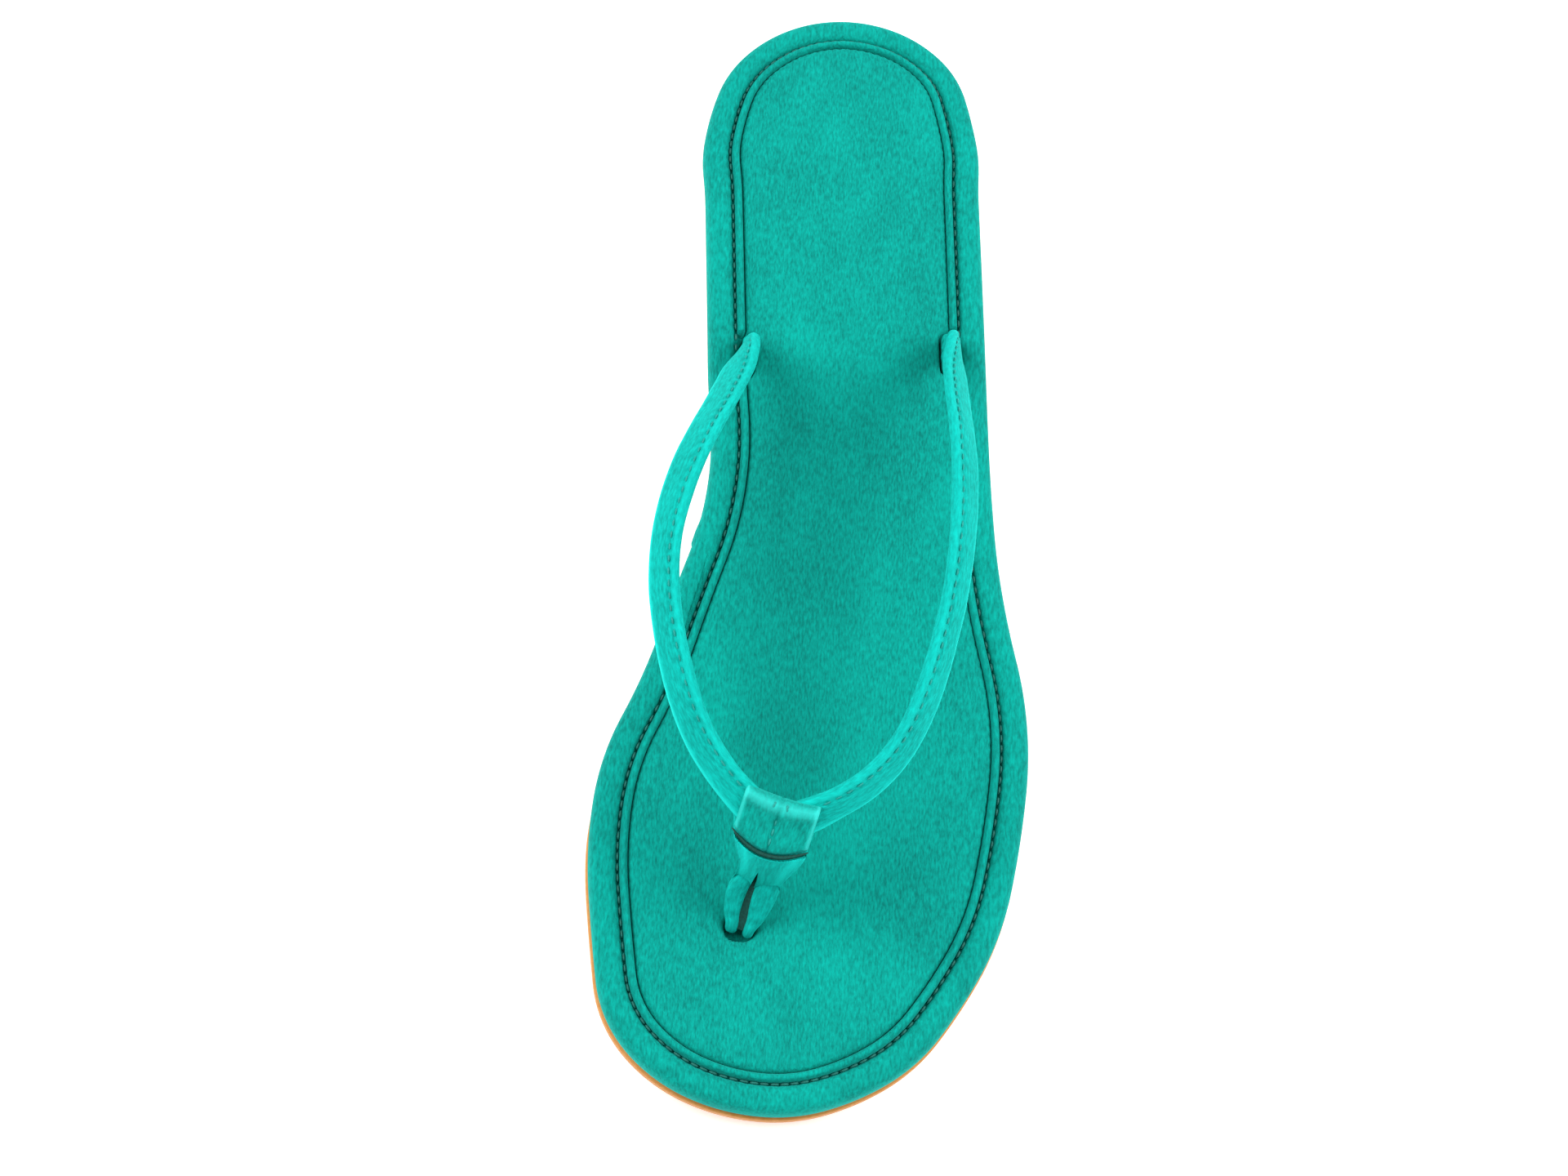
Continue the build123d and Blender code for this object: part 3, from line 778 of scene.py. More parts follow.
@dataclass
class StitchRow:
    """Separate stitches of twisted thread along a line."""

    name: str
    thick: float
    length: float
    rings: int = 7
    sides: int = 6

    def build(
        self, places: np.ndarray, along: np.ndarray, raised: np.ndarray, material: bpy.types.Material
    ) -> bpy.types.Object:
        """Build the stitches.

        Args:
            places: Middle of each stitch, in mm.
            along: Way each stitch runs.
            raised: Way out of the surface at each stitch.
            material: Thread.

        Returns:
            One mesh with every stitch.
        """
        along = along / np.linalg.norm(along, axis=1, keepdims=True)
        side = np.cross(along, raised)
        side /= np.linalg.norm(side, axis=1, keepdims=True)
        raised = np.cross(side, along)
        rows = []
        for i in range(self.rings):
            share = -1 + 2 * i / (self.rings - 1)
            reach = share * self.length / 2
            radius = self.thick / 2 * math.sqrt(max(1 - abs(share) ** 3, 0.02))
            sink = -0.32 * self.thick * share**4
            for j in range(self.sides):
                angle = 2 * math.pi * (j + 0.35 * i) / self.sides  # the offset shows as the thread's twist
                rows.append(
                    places
                    + along * reach
                    + side * radius * math.cos(angle)
                    + raised * (radius * math.sin(angle) + sink)
                )
        points = np.stack(rows, axis=1).reshape(-1, 3)
        faces = []
        for k in range(len(places)):
            base = k * self.rings * self.sides
            faces += grid_faces(self.rings, self.sides, False, True, base)
            faces.append(tuple(range(base, base + self.sides)))
            faces.append(tuple(range(base + (self.rings - 1) * self.sides, base + self.rings * self.sides)))
        return make_mesh(self.name, points, faces, material)


@dataclass
class RimSeam:
    """Row of stitches sunk in the groove between rim strip and piping."""

    form: SoleForm
    inset: float = 6.42
    level: float = 5.45

    def dress(self, material: bpy.types.Material) -> None:
        """Build and place the stitches."""
        edge = Edge(self.form, 4000)
        count = int(edge.length / STITCH_PITCH)
        picks = (np.arange(count) + 0.5) * edge.length / count / edge.length * 4000
        picks = picks.astype(int) % 4000
        plan = edge.at(np.array(self.inset))[picks]
        inward = edge.inward[picks]
        height = self.form.top(plan[:, 1]) + self.level
        places = np.column_stack([plan, height])
        along = np.column_stack([-inward[:, 1], inward[:, 0], np.zeros(count)])
        raised = np.tile((0.0, 0.0, 1.0), (count, 1))
        thing = StitchRow("rim_seam", 0.62, 1.75).build(places, along, raised, material)
        Placement("thread", bend=flex(self.form), stands_for=both_halves("rim_stitching")).apply(thing)


@dataclass
class Footbed:
    """Suede cover over thin foam: rolled down at its edge, crowned a little, drawn into the slots."""

    form: SoleForm
    stations: int = 1100
    steps: int = 46
    spine: tuple = ((0.0, 92.0), (-1.5, -84.0))
    crown: float = 0.35
    edge_knots: tuple = (
        (8.5, 4.6), (8.56, 5.4), (8.75, 6.05), (9.15, 6.5), (9.8, 6.78), (10.8, 6.95), (12.4, 7.0),
    )

    def build(self, material: bpy.types.Material) -> bpy.types.Object:
        """Build the cover.

        Args:
            material: Suede.

        Returns:
            The mesh.
        """
        edge = Edge(self.form, self.stations)
        rows = []
        for inset, level in profile_curve(self.edge_knots, 16):
            plan = edge.at(np.array(inset))
            beside = math.exp(-(((inset - 8.7) / 0.5) ** 2))
            pinch = 0.16 * np.cos(2 * math.pi * edge.run / STITCH_PITCH) * beside
            rows.append(np.column_stack([plan, self.form.top(plan[:, 1]) + level + pinch]))
        last = rows[-1]
        top, bottom = self.spine
        share = np.clip((last[:, 1] - bottom[1]) / (top[1] - bottom[1]), 0, 1)
        centre = np.column_stack([low + (high - low) * share for low, high in zip(bottom, top)])
        for k in range(1, self.steps + 1):
            way = k / self.steps
            plan = last[:, :2] * (1 - way) + centre * way
            level = 7.0 + self.crown * (1 - (1 - min(way * 2.2, 1)) ** 2) * 0.5
            rows.append(np.column_stack([plan, self.form.top(plan[:, 1]) + level]))
        points = np.concatenate(rows)
        inner = np.repeat(np.arange(len(rows)) > 10, self.stations)
        points[:, 2] += 0.10 * ripple(points, 34.0, 5) * inner + 0.04 * ripple(points, 9.0, 6) * inner
        for opening in (*SLOTS.values(), TOE_HOLE):
            points[:, 2] -= opening.drop(points[:, 0], points[:, 1])
        return make_mesh("footbed_cover", points, grid_faces(len(rows), self.stations, False, True), material)

    def dress(self, material: bpy.types.Material) -> None:
        """Build and place the cover."""
        thing = self.build(material)
        stands = both_halves("footbed_cover") + both_halves("foam")
        Placement("footbed_suede", bend=flex(self.form), stands_for=stands).apply(thing)


# ------------------------------------------------------------------ straps, keeper and toe post
class Path:
    """Smooth curve through points, with a set direction at each end, walked by its length."""

    def __init__(self, points: Sequence[np.ndarray], leave: np.ndarray, arrive: np.ndarray) -> None:
        """Fit the curve.

        Args:
            points: Points in mm.
            leave: Derivative by chord length at the start.
            arrive: The same at the end.
        """
        knots = np.array(points, float)
        gaps = np.linalg.norm(np.diff(knots, axis=0), axis=1)
        count = len(knots)
        left = np.eye(count)
        right = np.zeros((count, 3))
        right[0], right[-1] = leave, arrive
        for i in range(1, count - 1):
            before, after = gaps[i - 1], gaps[i]
            left[i, i - 1 : i + 2] = (after, 2 * (before + after), before)
            behind = after * (knots[i] - knots[i - 1]) / before
            ahead = before * (knots[i + 1] - knots[i]) / after
            right[i] = 3 * (behind + ahead)
        slopes = np.linalg.solve(left, right)
        dense = []
        for i, gap in enumerate(gaps):
            for t in np.linspace(0, 1, 120, endpoint=False):
                dense.append(
                    (2 * t**3 - 3 * t**2 + 1) * knots[i]
                    + (t**3 - 2 * t**2 + t) * gap * slopes[i]
                    + (3 * t**2 - 2 * t**3) * knots[i + 1]
                    + (t**3 - t**2) * gap * slopes[i + 1]
                )
        dense.append(knots[-1])
        self.dense = np.array(dense)
        self.run = np.concatenate([[0], np.cumsum(np.linalg.norm(np.diff(self.dense, axis=0), axis=1))])
        self.length = float(self.run[-1])

    def at(self, run: np.ndarray) -> np.ndarray:
        """Points at lengths along the curve; beyond its ends it goes straight on."""
        inside = np.stack([np.interp(run, self.run, self.dense[:, k]) for k in range(3)], axis=-1)
        first = self.dense[1] - self.dense[0]
        last = self.dense[-1] - self.dense[-2]
        before = np.minimum(run, 0)[..., None] * first / np.linalg.norm(first)
        after = np.maximum(run - self.length, 0)[..., None] * last / np.linalg.norm(last)
        return inside + before + after

    def ahead(self, run: np.ndarray) -> np.ndarray:
        """Unit directions at lengths along the curve."""
        step = self.at(run + 0.4) - self.at(run - 0.4)
        return step / np.linalg.norm(step, axis=-1, keepdims=True)


JUNCTION = np.array((-8.0, -72.0, 35.03))


@dataclass(frozen=True)
class StrapForm:
    """Line, lean and section of one strap, in mm and degrees."""

    side: Side
    foot: tuple
    line: tuple  # share of the way, distance outside the straight line, height over it
    tilt: tuple  # share of the length, degrees on edge
    width: float = 8.2
    thickness: float = 2.9
    lean: float = 7.0
    junction_pull: float = 0.4

    def path(self) -> Path:
        """The strap's middle line, from its slot to the junction."""
        out = self.side.value
        foot = np.array(self.foot)
        way = JUNCTION - foot
        points = [foot, *(foot + way * s + np.array((out * o, 0, r)) for s, o, r in self.line), JUNCTION]
        lean = math.radians(self.lean)
        leaving = np.array((0, -math.sin(lean), math.cos(lean)))
        return Path(points, leaving, np.array((-out, 0, 0)) * self.junction_pull)

    def frames(self, path: Path, run: np.ndarray) -> tuple:
        """Middle, outer-edge way and upper-face way at lengths along the strap.

        Args:
            path: The strap's middle line.
            run: Lengths from the slot, in mm.

        Returns:
            Places, edge directions and face directions.
        """
        out = self.side.value
        places = path.at(run)
        along = path.ahead(run)
        level = np.cross(along, (0.0, 0.0, 1.0)) * -out
        level /= np.linalg.norm(level, axis=1, keepdims=True)
        raised = np.cross(level, along) * -out
        shares, angles = np.array(self.tilt).T
        angle = np.radians(np.interp(np.clip(run / path.length, 0, 1), shares, angles))
        kernel = np.ones(9) / 9
        angle = np.convolve(np.pad(angle, 4, mode="edge"), kernel, mode="valid")[:, None]
        edge = level * np.cos(angle) - raised * np.sin(angle)
        return places, edge, np.cross(along, edge) * out


STRAPS = (
    StrapForm(
        Side.MEDIAL,
        (-17.9, 38.5, 15.0),
        ((0.13, 4.9, 13.0), (0.33, 14.5, 20.5), (0.54, 20.9, 19.2), (0.765, 18.5, 11.6), (0.95, 7.4, 2.9)),
        ((0.0, 90.0), (0.14, 40.0), (0.5, 42.0), (0.91, 44.0), (1.0, 14.0)),
    ),
    StrapForm(
        Side.LATERAL,
        (25.7, 42.5, 15.35),
        ((0.11, 2.6, 12.7), (0.29, 9.2, 20.1), (0.51, 16.4, 19.5), (0.75, 19.8, 12.0), (0.94, 12.6, 2.9)),
        ((0.0, 90.0), (0.14, 52.0), (0.5, 50.0), (0.91, 54.0), (1.0, 14.0)),
    ),
)


def rounded_section(width: np.ndarray, thickness: np.ndarray, count: int, power: float = 2.7) -> tuple:
    """Flattened oval sections, one for each station.

    Args:
        width: Width at each station, in mm.
        thickness: Thickness at each station.
        count: Points round the section.
        power: Higher is squarer.

    Returns:
        Across and up coordinates, each stations by count.
    """
    angle = np.linspace(0, 2 * math.pi, count, endpoint=False)
    across = np.sign(np.cos(angle)) * np.abs(np.cos(angle)) ** (2 / power)
    up = np.sign(np.sin(angle)) * np.abs(np.sin(angle)) ** (2 / power)
    return np.outer(width / 2, across), np.outer(thickness / 2, up)


@dataclass
class Strap:
    """Folded suede strap: edges rolled under to a seam beneath, and stitched near its inner edge."""

    form: StrapForm
    seam_inset: float = 1.5
    below: float = 6.0  # how far it goes on down into its slot
    stitch_pitch: float = 2.5

    @property
    def name(self) -> str:
        """Name of the strap's side."""
        return self.form.side.name.lower()

    def bend(self) -> tuple:
        """Bend of the strap as it leaves its slot."""
        x, y, z = self.form.foot
        return ("rear_sole", "upper", (x, y, z - 2.5), (x, y, z + 9.0))

    def build(self, material: bpy.types.Material) -> bpy.types.Object:
        """Build the strap.

        Args:
            material: Suede.

        Returns:
            The mesh.
        """
        path = self.form.path()
        run = np.arange(-self.below, path.length + 0.01, 0.45)
        places, edge, face = self.form.frames(path, run)
        width = self.form.width * (0.72 + 0.28 * smooth_step(-1.0, 11.0, run))
        width -= 1.0 * smooth_step(0.35 * path.length, 0.6 * path.length, run)
        thickness = self.form.thickness * (1.12 - 0.12 * smooth_step(0, 12, run)) + 0.12 * np.sin(run / 7.0)
        across, up = rounded_section(width, thickness, 56)
        top = up > 0
        seam = -width[:, None] / 2 + self.seam_inset
        pulled = 0.75 + 0.25 * np.cos(2 * math.pi * run / self.stitch_pitch)[:, None]
        up -= np.where(top, 0.30 * pulled * np.exp(-(((across - seam) / 0.42) ** 2)), 0)
        up += np.where(top, 0.16 * np.exp(-(((across - width[:, None] / 2 + 1.1) / 0.8) ** 2)), 0)
        up += np.where(~top, 0.45 * np.exp(-((across / 0.4) ** 2)), 0)
        spread = np.stack([across + 40, np.broadcast_to(run[:, None], across.shape)], -1)
        crease = 0.07 * ripple(spread, 11.0, 8)
        up += crease * np.sign(up)
        points = places[:, None] + edge[:, None] * across[..., None] + face[:, None] * up[..., None]
        nap = np.stack([across, np.broadcast_to(run[:, None], across.shape), up], axis=-1)
        # Painted highlight: a light band along the outer fold and a fainter one along the inner edge, for the
        # side light on them
        outer = np.exp(-(((across - width[:, None] / 2 + 0.6) / 0.65) ** 2))
        inner = np.exp(-(((across + width[:, None] / 2 - 0.5) / 0.5) ** 2))
        painted_highlight = np.where(up > -0.6, 0.75 * outer + 0.3 * inner, 0)
        count = across.shape[1]
        faces = grid_faces(len(run), count, False, True)
        faces.append(tuple(range(count)))
        faces.append(tuple(range((len(run) - 1) * count, len(run) * count)))
        name = f"strap_{self.name}_suede"
        return make_mesh(name, points.reshape(-1, 3), faces, material, nap.reshape(-1, 3), painted_highlight)

    def seam(self, material: bpy.types.Material) -> bpy.types.Object:
        """Build the stitches near the strap's inner edge.

        Args:
            material: Thread.

        Returns:
            The mesh.
        """
        path = self.form.path()
        run = np.arange(7.0, path.length - 9.5, self.stitch_pitch)
        places, edge, face = self.form.frames(path, run)
        width = self.form.width * (0.72 + 0.28 * smooth_step(-1.0, 11.0, run))
        width -= 1.0 * smooth_step(0.35 * path.length, 0.6 * path.length, run)
        lift = face * (self.form.thickness / 2 - 0.22)
        middle = places + edge * (self.seam_inset - width / 2)[:, None] + lift
        return StitchRow(f"strap_{self.name}_seam", 0.36, 1.5).build(middle, path.ahead(run), face, material)

    def dress(self, suede: bpy.types.Material, thread: bpy.types.Material) -> None:
        """Build and place the strap and its stitches."""
        label = f"strap_{self.name}"
        Placement("suede", bend=self.bend(), stands_for=(label, f"{label}_tape")).apply(self.build(suede))
        Placement("thread", bend=self.bend(), stands_for=(f"{label}_stitching",)).apply(self.seam(thread))


@dataclass
class Keeper:
    """Suede band folded over the straps' ends: seamed down its middle, its front edge a smile."""

    half_length: float = 7.5
    tilt: float = 14.0  # degrees that it leans towards the toe
    turn: float = -14.0  # degrees that it is turned about the vertical, square to the post
    rear: tuple = (-5.0, -0.6)  # edge at the middle, and how much further it goes at the sides
    front: tuple = (5.8, -2.9)
    side_lift: float = 1.3
    # Share of the way from the rear edge to the front one, and height, round the band: a rolled
    # rear edge, then a flat face that ends in a deep fold.
    knots: tuple = (
        (0.30, -2.7), (0.08, -2.5), (-0.02, -1.2), (-0.05, 0.8), (0.0, 2.4), (0.12, 3.25), (0.26, 3.15),
        (0.36, 2.55), (0.50, 2.35), (0.72, 2.45), (0.88, 2.5), (0.955, 2.2), (0.985, 1.4), (1.0, 0.2),
        (0.98, -1.2),
    )

    def axes(self) -> tuple:
        """Way to the lateral side, to the front edge and out of the face."""
        lean, turn = math.radians(self.tilt), math.radians(self.turn)
        sideways = np.array((math.cos(turn), math.sin(turn), 0.0))
        level = np.array((math.sin(turn), -math.cos(turn), 0.0))
        forward = level * math.cos(lean) - np.array((0, 0, math.sin(lean)))
        return sideways, forward, np.cross(forward, sideways)

    def place(self, across: np.ndarray, share: np.ndarray, height: np.ndarray) -> np.ndarray:
        """Turn band coordinates into places.

        Args:
            across: -1 at the medial side to 1 at the lateral one.
            share: 0 at the rear edge to 1 at the front edge.
            height: Height over the straps' middle, in mm.

        Returns:
            Places in mm.
        """
        sideways, forward, face = self.axes()
        rear = self.rear[0] + self.rear[1] * across**2
        reach = rear + (self.edge(across) - rear) * share
        lift = self.side_lift * across**2 + height
        return (
            JUNCTION
            + sideways * (across * self.half_length)[..., None]
            + forward * reach[..., None]
            + face * lift[..., None]
        )

    def build(self, material: bpy.types.Material) -> bpy.types.Object:
        """Build the band.

        Args:
            material: Suede.

        Returns:
            The mesh.
        """
        section = profile_curve(self.knots, 60)
        side_rows = np.linspace(0.9, 1, 14)
        across = np.concatenate([-side_rows[::-1], np.linspace(-0.89, 0.89, 70), side_rows])
        grid_across, share = np.meshgrid(across, section[:, 0])
        height = np.repeat(section[:, 1][:, None], len(across), axis=1)
        rolled = (1 - np.abs(grid_across) ** 16) ** 0.5
        height = height * (0.35 + 0.65 * rolled)
        top = height > 1.2
        height = height - np.where(top, 0.4 * np.exp(-((grid_across / 0.04) ** 2)), 0)
        height = height + np.where(top, 0.2 * np.exp(-(((np.abs(grid_across) - 0.13) / 0.08) ** 2)), 0)
        uneven = ripple(np.stack([grid_across * 7, share * 11], -1), 5.0, 21)
        height = height + np.where(top, 0.12 * uneven, 0)
        points = self.place(grid_across, share, height)
        # Painted highlight on the rolled rear edge and along the folded sides, for the light on them
        painted_highlight = 0.6 * np.exp(-(((share - 0.16) / 0.11) ** 2))
        painted_highlight = painted_highlight + 0.5 * np.exp(-(((np.abs(grid_across) - 0.95) / 0.05) ** 2))
        painted_highlight = np.where(top, np.clip(painted_highlight, 0, 0.8), 0)
        nap = np.stack([grid_across * self.half_length, share * 11, height], axis=-1)
        faces = grid_faces(len(section), len(across), False, False)
        return make_mesh("keeper_band", points.reshape(-1, 3), faces, material, nap.reshape(-1, 3), painted_highlight)

    def seam(self, material: bpy.types.Material) -> bpy.types.Object:
        """Build the stitches: two side by side at the rear edge, and a row down the middle."""
        _, forward, face = self.axes()
        across = np.array((-0.17, 0.17, 0, 0, 0))
        share = np.array((0.15, 0.15, 0.44, 0.62, 0.80))
        height = np.array((3.2, 3.2, 2.05, 2.15, 2.2))
        ways = np.array([forward + np.array((0.15 * np.sign(a), 0, 0)) for a in across])
        raised = np.tile(face, (len(across), 1))
        places = self.place(across, share, height)
        return StitchRow("keeper_seam", 0.55, 1.6).build(places, ways, raised, material)

    def edge(self, across: np.ndarray) -> np.ndarray:
        """How far the front edge lies in front of the junction."""
        return self.front[0] + self.front[1] * across**2

    def painted_shade_edge(self, material: bpy.types.Material) -> bpy.types.Object:
        """Build the band's cut edge, down in the fold in front of it, in near-black painted shade for the
        fold.
        """
        sideways, forward, face = self.axes()
        across = np.linspace(-1.02, 1.02, 70)
        reach = self.edge(across) + 0.5
        lift = self.side_lift * across**2 + 1.0
        middle = JUNCTION + (across * self.half_length)[:, None] * sideways
        middle = middle + reach[:, None] * forward + lift[:, None] * face
        along = np.gradient(middle, axis=0)
        level = np.cross(along, face)
        level /= np.linalg.norm(level, axis=1, keepdims=True)
        across_part, up = rounded_section(0.3 + 0.5 * (1 - across**4), np.full(len(middle), 0.9), 14, 2.0)
        points = middle[:, None] + level[:, None] * across_part[..., None] + face * up[..., None]
        faces = grid_faces(len(middle), 14, False, True)
        return make_mesh("keeper_painted_shade_edge", points.reshape(-1, 3), faces, material)

    def dress(self, suede: bpy.types.Material, thread: bpy.types.Material, shade_paint: bpy.types.Material) -> None:
        """Build and place the band, its cut edge in painted shade, and its stitches."""
        Placement("suede", body="upper").apply(self.painted_shade_edge(shade_paint))
        Placement("suede", body="upper", stands_for=("keeper",)).apply(self.build(suede))
        Placement("thread", body="upper", stands_for=("keeper_stitching",)).apply(self.seam(thread))


@dataclass
class ToePost:
    """The straps' ends, turned down from their front edges: one chin under the keeper, then two
    lobes side by side with a slit between them."""

    straps: Sequence[StrapForm]
    keeper: Keeper
    foot: tuple = (-12.0, -87.6, 11.0)
    below: float = 1.6
    start_back: float = 15.0  # where a lobe's outer edge leaves its strap, before the junction
    # Share of the way from the junction to the foot, slit's line, half slit, and half widths.
    sections: tuple = (
        (0.28, 0.2, -1.4, 6.9, 7.6),
        (0.42, 0.1, -1.2, 5.2, 6.6),
        (0.51, -0.1, -0.3, 4.3, 5.6),
        (0.59, -0.2, 0.20, 4.2, 5.1),
        (0.70, -0.4, 0.45, 4.9, 5.0),
        (0.84, -0.3, 0.62, 4.7, 4.4),
        (0.94, 0.0, 0.62, 3.9, 3.6),
        (1.0, 0.1, 0.55, 3.1, 2.9),
    )
    bow: float = 2.3  # how far the post swells towards the toe

    def axes(self) -> tuple:
        """Length, way down the post, way to its lateral side and way out of its front."""
        way = np.array(self.foot) - JUNCTION
        length = float(np.linalg.norm(way))
        way /= length
        side = np.cross((0.0, 0.0, 1.0), way)
        side /= np.linalg.norm(side)
        return length, way, side, -np.cross(way, side)

    def edges(self, form: StrapForm) -> tuple:
        """Outer and inner edge lines of one lobe, as two paths."""
        length, way, side, front = self.axes()
        strap = form.path()
        marks = strap.length - np.array((self.start_back, self.start_back * 0.6))
        middles, edge, face = form.frames(strap, marks)
        outer = list(middles + edge * 2.9 - face * 0.5)
        inner = [JUNCTION + side * form.side.value * d + front * 0.2 for d in (2.5, 0.8)]
        for share, line, gap, *halves in self.sections:
            half = halves[form.side is Side.LATERAL]
            swell = front * (self.bow * math.sin(math.pi * min(share, 1)) + 0.3)
            base = JUNCTION + way * (share * length) + swell
            inner.append(base + side * (line + form.side.value * gap))
            outer.append(base + side * form.side.value * half)
        down = np.array((0, 0, -1.0))
        for chain in (outer, inner):
            chain.append(chain[-1] + down * self.below)
        heading = strap.ahead(marks[:1])[0]
        return Path(outer, heading, down * 0.6), Path(inner, way * 0.8, down * 0.6)

    def build(self, form: StrapForm, material: bpy.types.Material) -> bpy.types.Object:
        """Build one lobe as a thick sheet between its two edges.

        Args:
            form: The strap it belongs to.
            material: Suede.

        Returns:
            The mesh.
        """
        outer_path, inner_path = self.edges(form)
        outer, inner = outer_path.dense[::8], inner_path.dense[::8]
        middle = (outer + inner) / 2
        stations = np.concatenate([[0], np.cumsum(np.linalg.norm(np.diff(middle, axis=0), axis=1))])
        along = np.gradient(middle, axis=0)
        across = (outer - inner) * form.side.value
        width = np.linalg.norm(across, axis=1)
        across /= width[:, None]
        normal = np.cross(across, along)
        normal /= np.linalg.norm(normal, axis=1, keepdims=True)
        share = stations / stations[-1]
        thickness = 2.0 + 1.7 * smooth_step(0.1, 0.5, share) - 0.7 * smooth_step(0.75, 1.0, share)
        offset, up = rounded_section(width, thickness, 52, 2.5)
        spread = np.stack([offset * 2, np.broadcast_to(stations[:, None], offset.shape)], -1)
        up += 0.09 * ripple(spread, 7.0, 11) * np.sign(up)
        rim = np.abs(offset * form.side.value - width[:, None] / 2 + 0.9)
        up += np.where(up > 0, 0.3 * np.exp(-((rim / 0.7) ** 2)), 0)
        points = middle[:, None] + across[:, None] * offset[..., None] + normal[:, None] * up[..., None]
        points = self.tucked(points, up)
        # Painted highlight along each lobe's outer edge, for the light on it
        painted_highlight = np.where(up > -0.4, 0.6 * np.exp(-((rim / 0.8) ** 2)), 0)
        ring = offset.shape[1]
        nap = np.stack([offset, np.broadcast_to(stations[:, None], offset.shape), up], axis=-1)
        faces = grid_faces(len(stations), ring, False, True)
        faces += [tuple(range(ring)), tuple(range((len(stations) - 1) * ring, len(stations) * ring))]
        name = f"toe_post_{form.side.name.lower()}"
        return make_mesh(name, points.reshape(-1, 3), faces, material, nap.reshape(-1, 3), painted_highlight)

    def tucked(self, points: np.ndarray, up: np.ndarray) -> np.ndarray:
        """Swell the chin in front of the keeper's edge, and sink it under the keeper.

        Args:
            points: Places round each section.
            up: Height of each place over the section's middle.

        Returns:
            The places, moved out of or into the face.
        """
        sideways, forward, face = self.keeper.axes()
        away = points - JUNCTION
        across = away @ sideways / self.keeper.half_length
        ahead = away @ forward - self.keeper.edge(across)
        height = away @ face
        inside = (1 - smooth_step(0.95, 1.3, np.abs(across))) * (up > 0)
        lip = 2.3 + self.keeper.side_lift * np.clip(across, -1, 1) ** 2
        near = smooth_step(0.7, 1.3, ahead) * (1 - smooth_step(2.5, 9.0, ahead))
        short = lip - 1.3 * (ahead - 0.8) - height
        sunk = 1 - smooth_step(0.5, 1.0, ahead)
        lift = near * (short + np.hypot(short, 0.7)) / 2 - sunk * np.maximum(height - 0.6, 0)
        return points + face * (lift * inside)[..., None]

    def lining(self, material: bpy.types.Material) -> bpy.types.Object:
        """Build the tape that lies between the lobes, set back in the slit, in near-black painted shade for
        the slit.
        """
        length, way, side, front = self.axes()
        share = np.linspace(0.46, 1.0, 40)
        marks, lines, gaps = np.array([section[:3] for section in self.sections]).T
        line, gap = np.interp(share, marks, lines), np.maximum(np.interp(share, marks, gaps), 0)
        across = np.linspace(-1, 1, 7)
        swell = self.bow * np.sin(math.pi * share) - 0.5
        middle = JUNCTION + way * (share * length)[:, None] + side * line[:, None] + front * swell[:, None]
        half = (gap + 0.7)[:, None] * across
        points = middle[:, None] + side * half[..., None] - front * (0.3 * across**2)[None, :, None]
        return make_mesh("toe_post_lining", points.reshape(-1, 3), grid_faces(40, 7, False, False), material)

    def dress(self, suede: bpy.types.Material, shade_paint: bpy.types.Material) -> None:
        """Build and place both lobes and the tape between them, the tape in painted shade."""
        way = np.array(self.foot) - JUNCTION
        start, end = JUNCTION + way * 0.22, JUNCTION + way * 0.6
        reach = ("upper", "toe_post", tuple(start), tuple(end))
        Placement("tape", bend=reach, stands_for=("toe_post_tape",)).apply(self.lining(shade_paint))
        for form in self.straps:
            thing = self.build(form, suede)
            first = form.side is Side.MEDIAL
            stands = ("toe_post",) if first else ("toe_post_tail",)
            Placement("suede", bend=reach, stands_for=stands).apply(thing)


# ------------------------------------------------------------------ hidden pieces and the set
@dataclass
class HiddenPieces:
    """Inner pieces that keep their CAD shape and take a finish."""

    finishes: dict

    def dress(self) -> None:
        """Give each node that is still shown its finish."""
        slots = {entry["node"]: entry["material_slot"] for entry in frame["record"]["subparts"]}
        for name, node in frame["nodes"].items():
            if node.hide_render:
                continue
            node.data.materials.clear()
            node.data.materials.append(self.finishes[slots[name]])
            if "nap" not in node.data.attributes:
                attribute = node.data.attributes.new("nap", "FLOAT_VECTOR", "POINT")
                places = np.array([v.co for v in node.data.vertices], np.float32)
                attribute.data.foreach_set("vector", places.ravel())
            log.info("%s keeps its CAD shape", name)


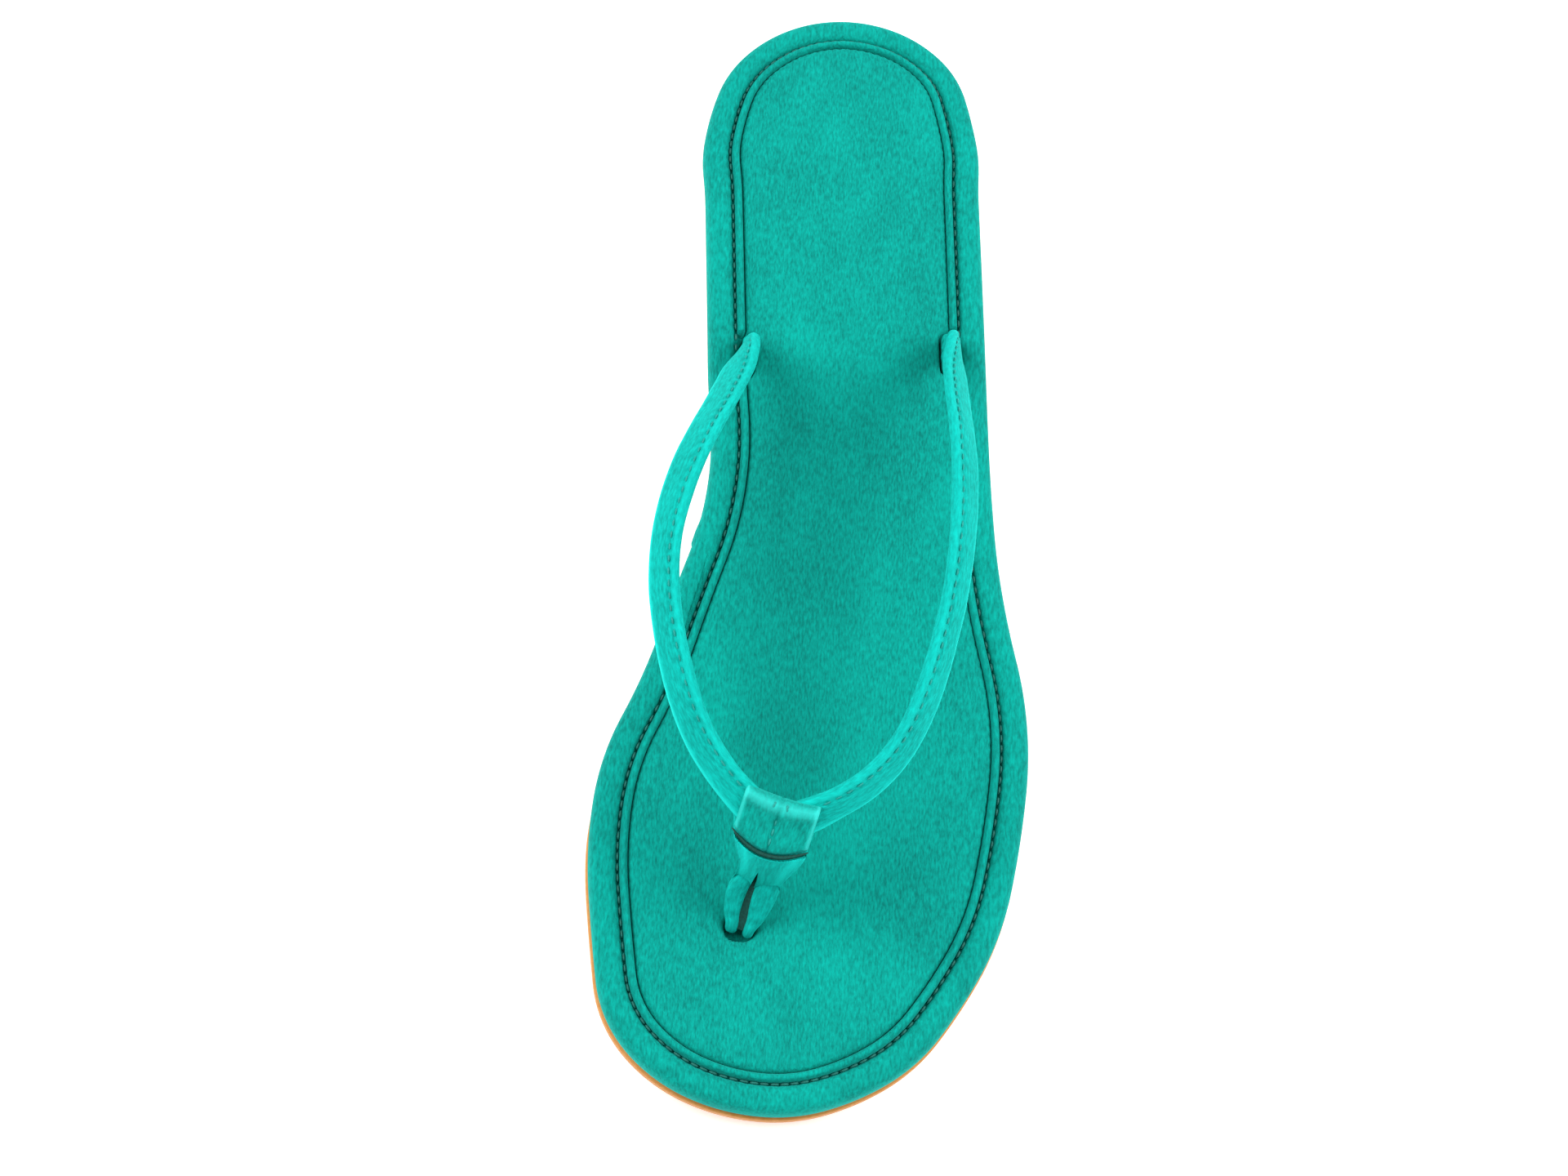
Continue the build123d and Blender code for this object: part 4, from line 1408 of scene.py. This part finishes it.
@dataclass
class Studio:
    """Pale floor, two soft side lights and the camera."""

    floor_size: float = 6.0
    lean: float = 5.0  # degrees that the sandal is turned under the camera
    steepness: float = 70.0
    place: tuple = (-0.0442, -0.1974, 0.5037)
    lens: float = 57.0
    shift: tuple = (0.16, 0.0)
    sky: float = 0.40
    table_glow: float = 0.35  # light that comes up through the floor
    box_power: float = 13.2  # watts, each softbox
    box_size: float = 0.85
    box_place: tuple = (0.85, 0.12, 0.85)  # the lateral softbox; the other one mirrors it

    def floor(self) -> None:
        """Pale floor that goes up behind as one sheet."""
        material, _, shader = new_material("floor_paper")
        shader.inputs["Base Color"].default_value = linear("#fdfdfd")
        shader.inputs["Roughness"].default_value = 0.9
        # Lit from below like a light table, so that it stays white round the sandal
        shader.inputs["Emission Color"].default_value = linear("#ffffff")
        shader.inputs["Emission Strength"].default_value = self.table_glow
        half = self.floor_size / 2 / MM
        points = np.array([(x, y, -0.05) for y in (-half, half) for x in (-half, half)])
        thing = make_mesh("floor", points, [(0, 1, 3, 2)], material)

    def lights(self) -> None:
        """Two large soft lights from the sides and an even pale sky."""
        world = bpy.data.worlds.new("studio")
        bpy.context.scene.world = world
        world.use_nodes = True
        sky = world.node_tree.nodes["Background"]
        sky.inputs["Color"].default_value = linear("#ffffff")
        sky.inputs["Strength"].default_value = self.sky
        x, y, z = self.box_place
        for name, sign in (("left", -1), ("right", 1)):
            light = bpy.data.lights.new(f"softbox_{name}", "AREA")
            light.energy = self.box_power
            light.size = self.box_size
            thing = bpy.data.objects.new(f"softbox_{name}", light)
            thing.location = (sign * x, y, z)
            thing.rotation_euler = (Vector((0, 0, 0)) - thing.location).to_track_quat("-Z", "Y").to_euler()
            bpy.context.collection.objects.link(thing)

    def camera(self) -> None:
        """Camera high over the toe, looking down along the sandal."""
        turn, steep = math.radians(self.lean), math.radians(self.steepness)
        right = Vector((math.cos(turn), math.sin(turn), 0))
        level = math.cos(steep)
        ahead = Vector((-math.sin(turn) * level, math.cos(turn) * level, -math.sin(steep)))
        up = right.cross(ahead)
        data = bpy.data.cameras.new("camera")
        data.lens = self.lens
        data.sensor_width = 36.0
        data.shift_x, data.shift_y = self.shift
        data.clip_start = 0.01
        thing = bpy.data.objects.new("camera", data)
        aim = Matrix((right, up, -ahead)).transposed().to_4x4()
        thing.matrix_world = Matrix.Translation(Vector(self.place)) @ aim
        bpy.context.collection.objects.link(thing)
        bpy.context.scene.camera = thing

    def build(self) -> None:
        """Set everything up."""
        self.floor()
        self.lights()
        self.camera()
        bpy.context.scene.view_settings.view_transform = "Standard"


def main() -> None:
    """Build the sandal, place it on the frame and set the studio."""
    suede = Suede("suede", "#00ab9d", "#00766c", "#3ae0d6").build()
    # Lighter copy of the suede for the straps and toe post: painted light, for the extra light that falls on
    # the straps
    strap_suede = Suede("strap_suede", "#04c2b6", "#008c82", "#14e2d6").build()
    footbed_suede = Suede(
        "footbed_suede", "#00a89a", "#00736a", "#3ae0d6", fleck_across=0.4, fleck_along=1.5
    ).build()
    thread = Speckled("thread", "#03584f", "#087a6f", 0.6, 0.4, bump=0.03).build()
    # Near-black teal on the keeper's cut edge and the tape between the toe post's lobes: painted shade for
    # the dark fold and slit
    shade_paint = Speckled("painted_shade_dark", "#023d36", "#05554b", 0.95, 0.5, bump=0.05).build()
    strap_thread = Speckled("strap_thread", "#018a80", "#05a298", 0.7, 0.4, bump=0.03).build()
    finishes = {
        "suede": suede,
        "footbed_suede": footbed_suede,
        "thread": thread,
        # Unfilled natural crepe-coloured rubber, moulded: matt and even
        "sole_rubber": Speckled("sole_rubber", "#c98436", "#d5924a", 0.62, 1.2, bump=0.02).build(),
        # Ground cork bonded in sheet, sanded
        "cork": Speckled("cork", "#8a6238", "#b98d5a", 0.9, 1.6, bump=0.15).build(),
        # Cellulose insole board, calendered
        "board": Speckled("board", "#a88a66", "#bda079", 0.85, 0.8).build(),
        # Open-cell polyurethane foam, cut from sheet
        "foam": Speckled("foam", "#d8d2c4", "#ece7db", 0.95, 0.7, bump=0.12).build(),
        # Woven nylon tape
        "tape": Speckled("tape", "#cfcabb", "#e3dfd2", 0.7, 0.4, stretch=4.0).build(),
        "steel": BrushedSteel().build(),
    }
    Outsole(FORM).dress(finishes["sole_rubber"])
    RimStrip(FORM).dress(suede)
    Piping(FORM).dress(suede)
    RimSeam(FORM).dress(thread)
    Footbed(FORM).dress(footbed_suede)
    for form in STRAPS:
        Strap(form).dress(strap_suede, strap_thread)
    keeper = Keeper()
    keeper.dress(suede, strap_thread, shade_paint)
    ToePost(STRAPS, keeper).dress(strap_suede, shade_paint)
    HiddenPieces(finishes).dress()
    Studio().build()


if __name__ == "__main__":
    main()
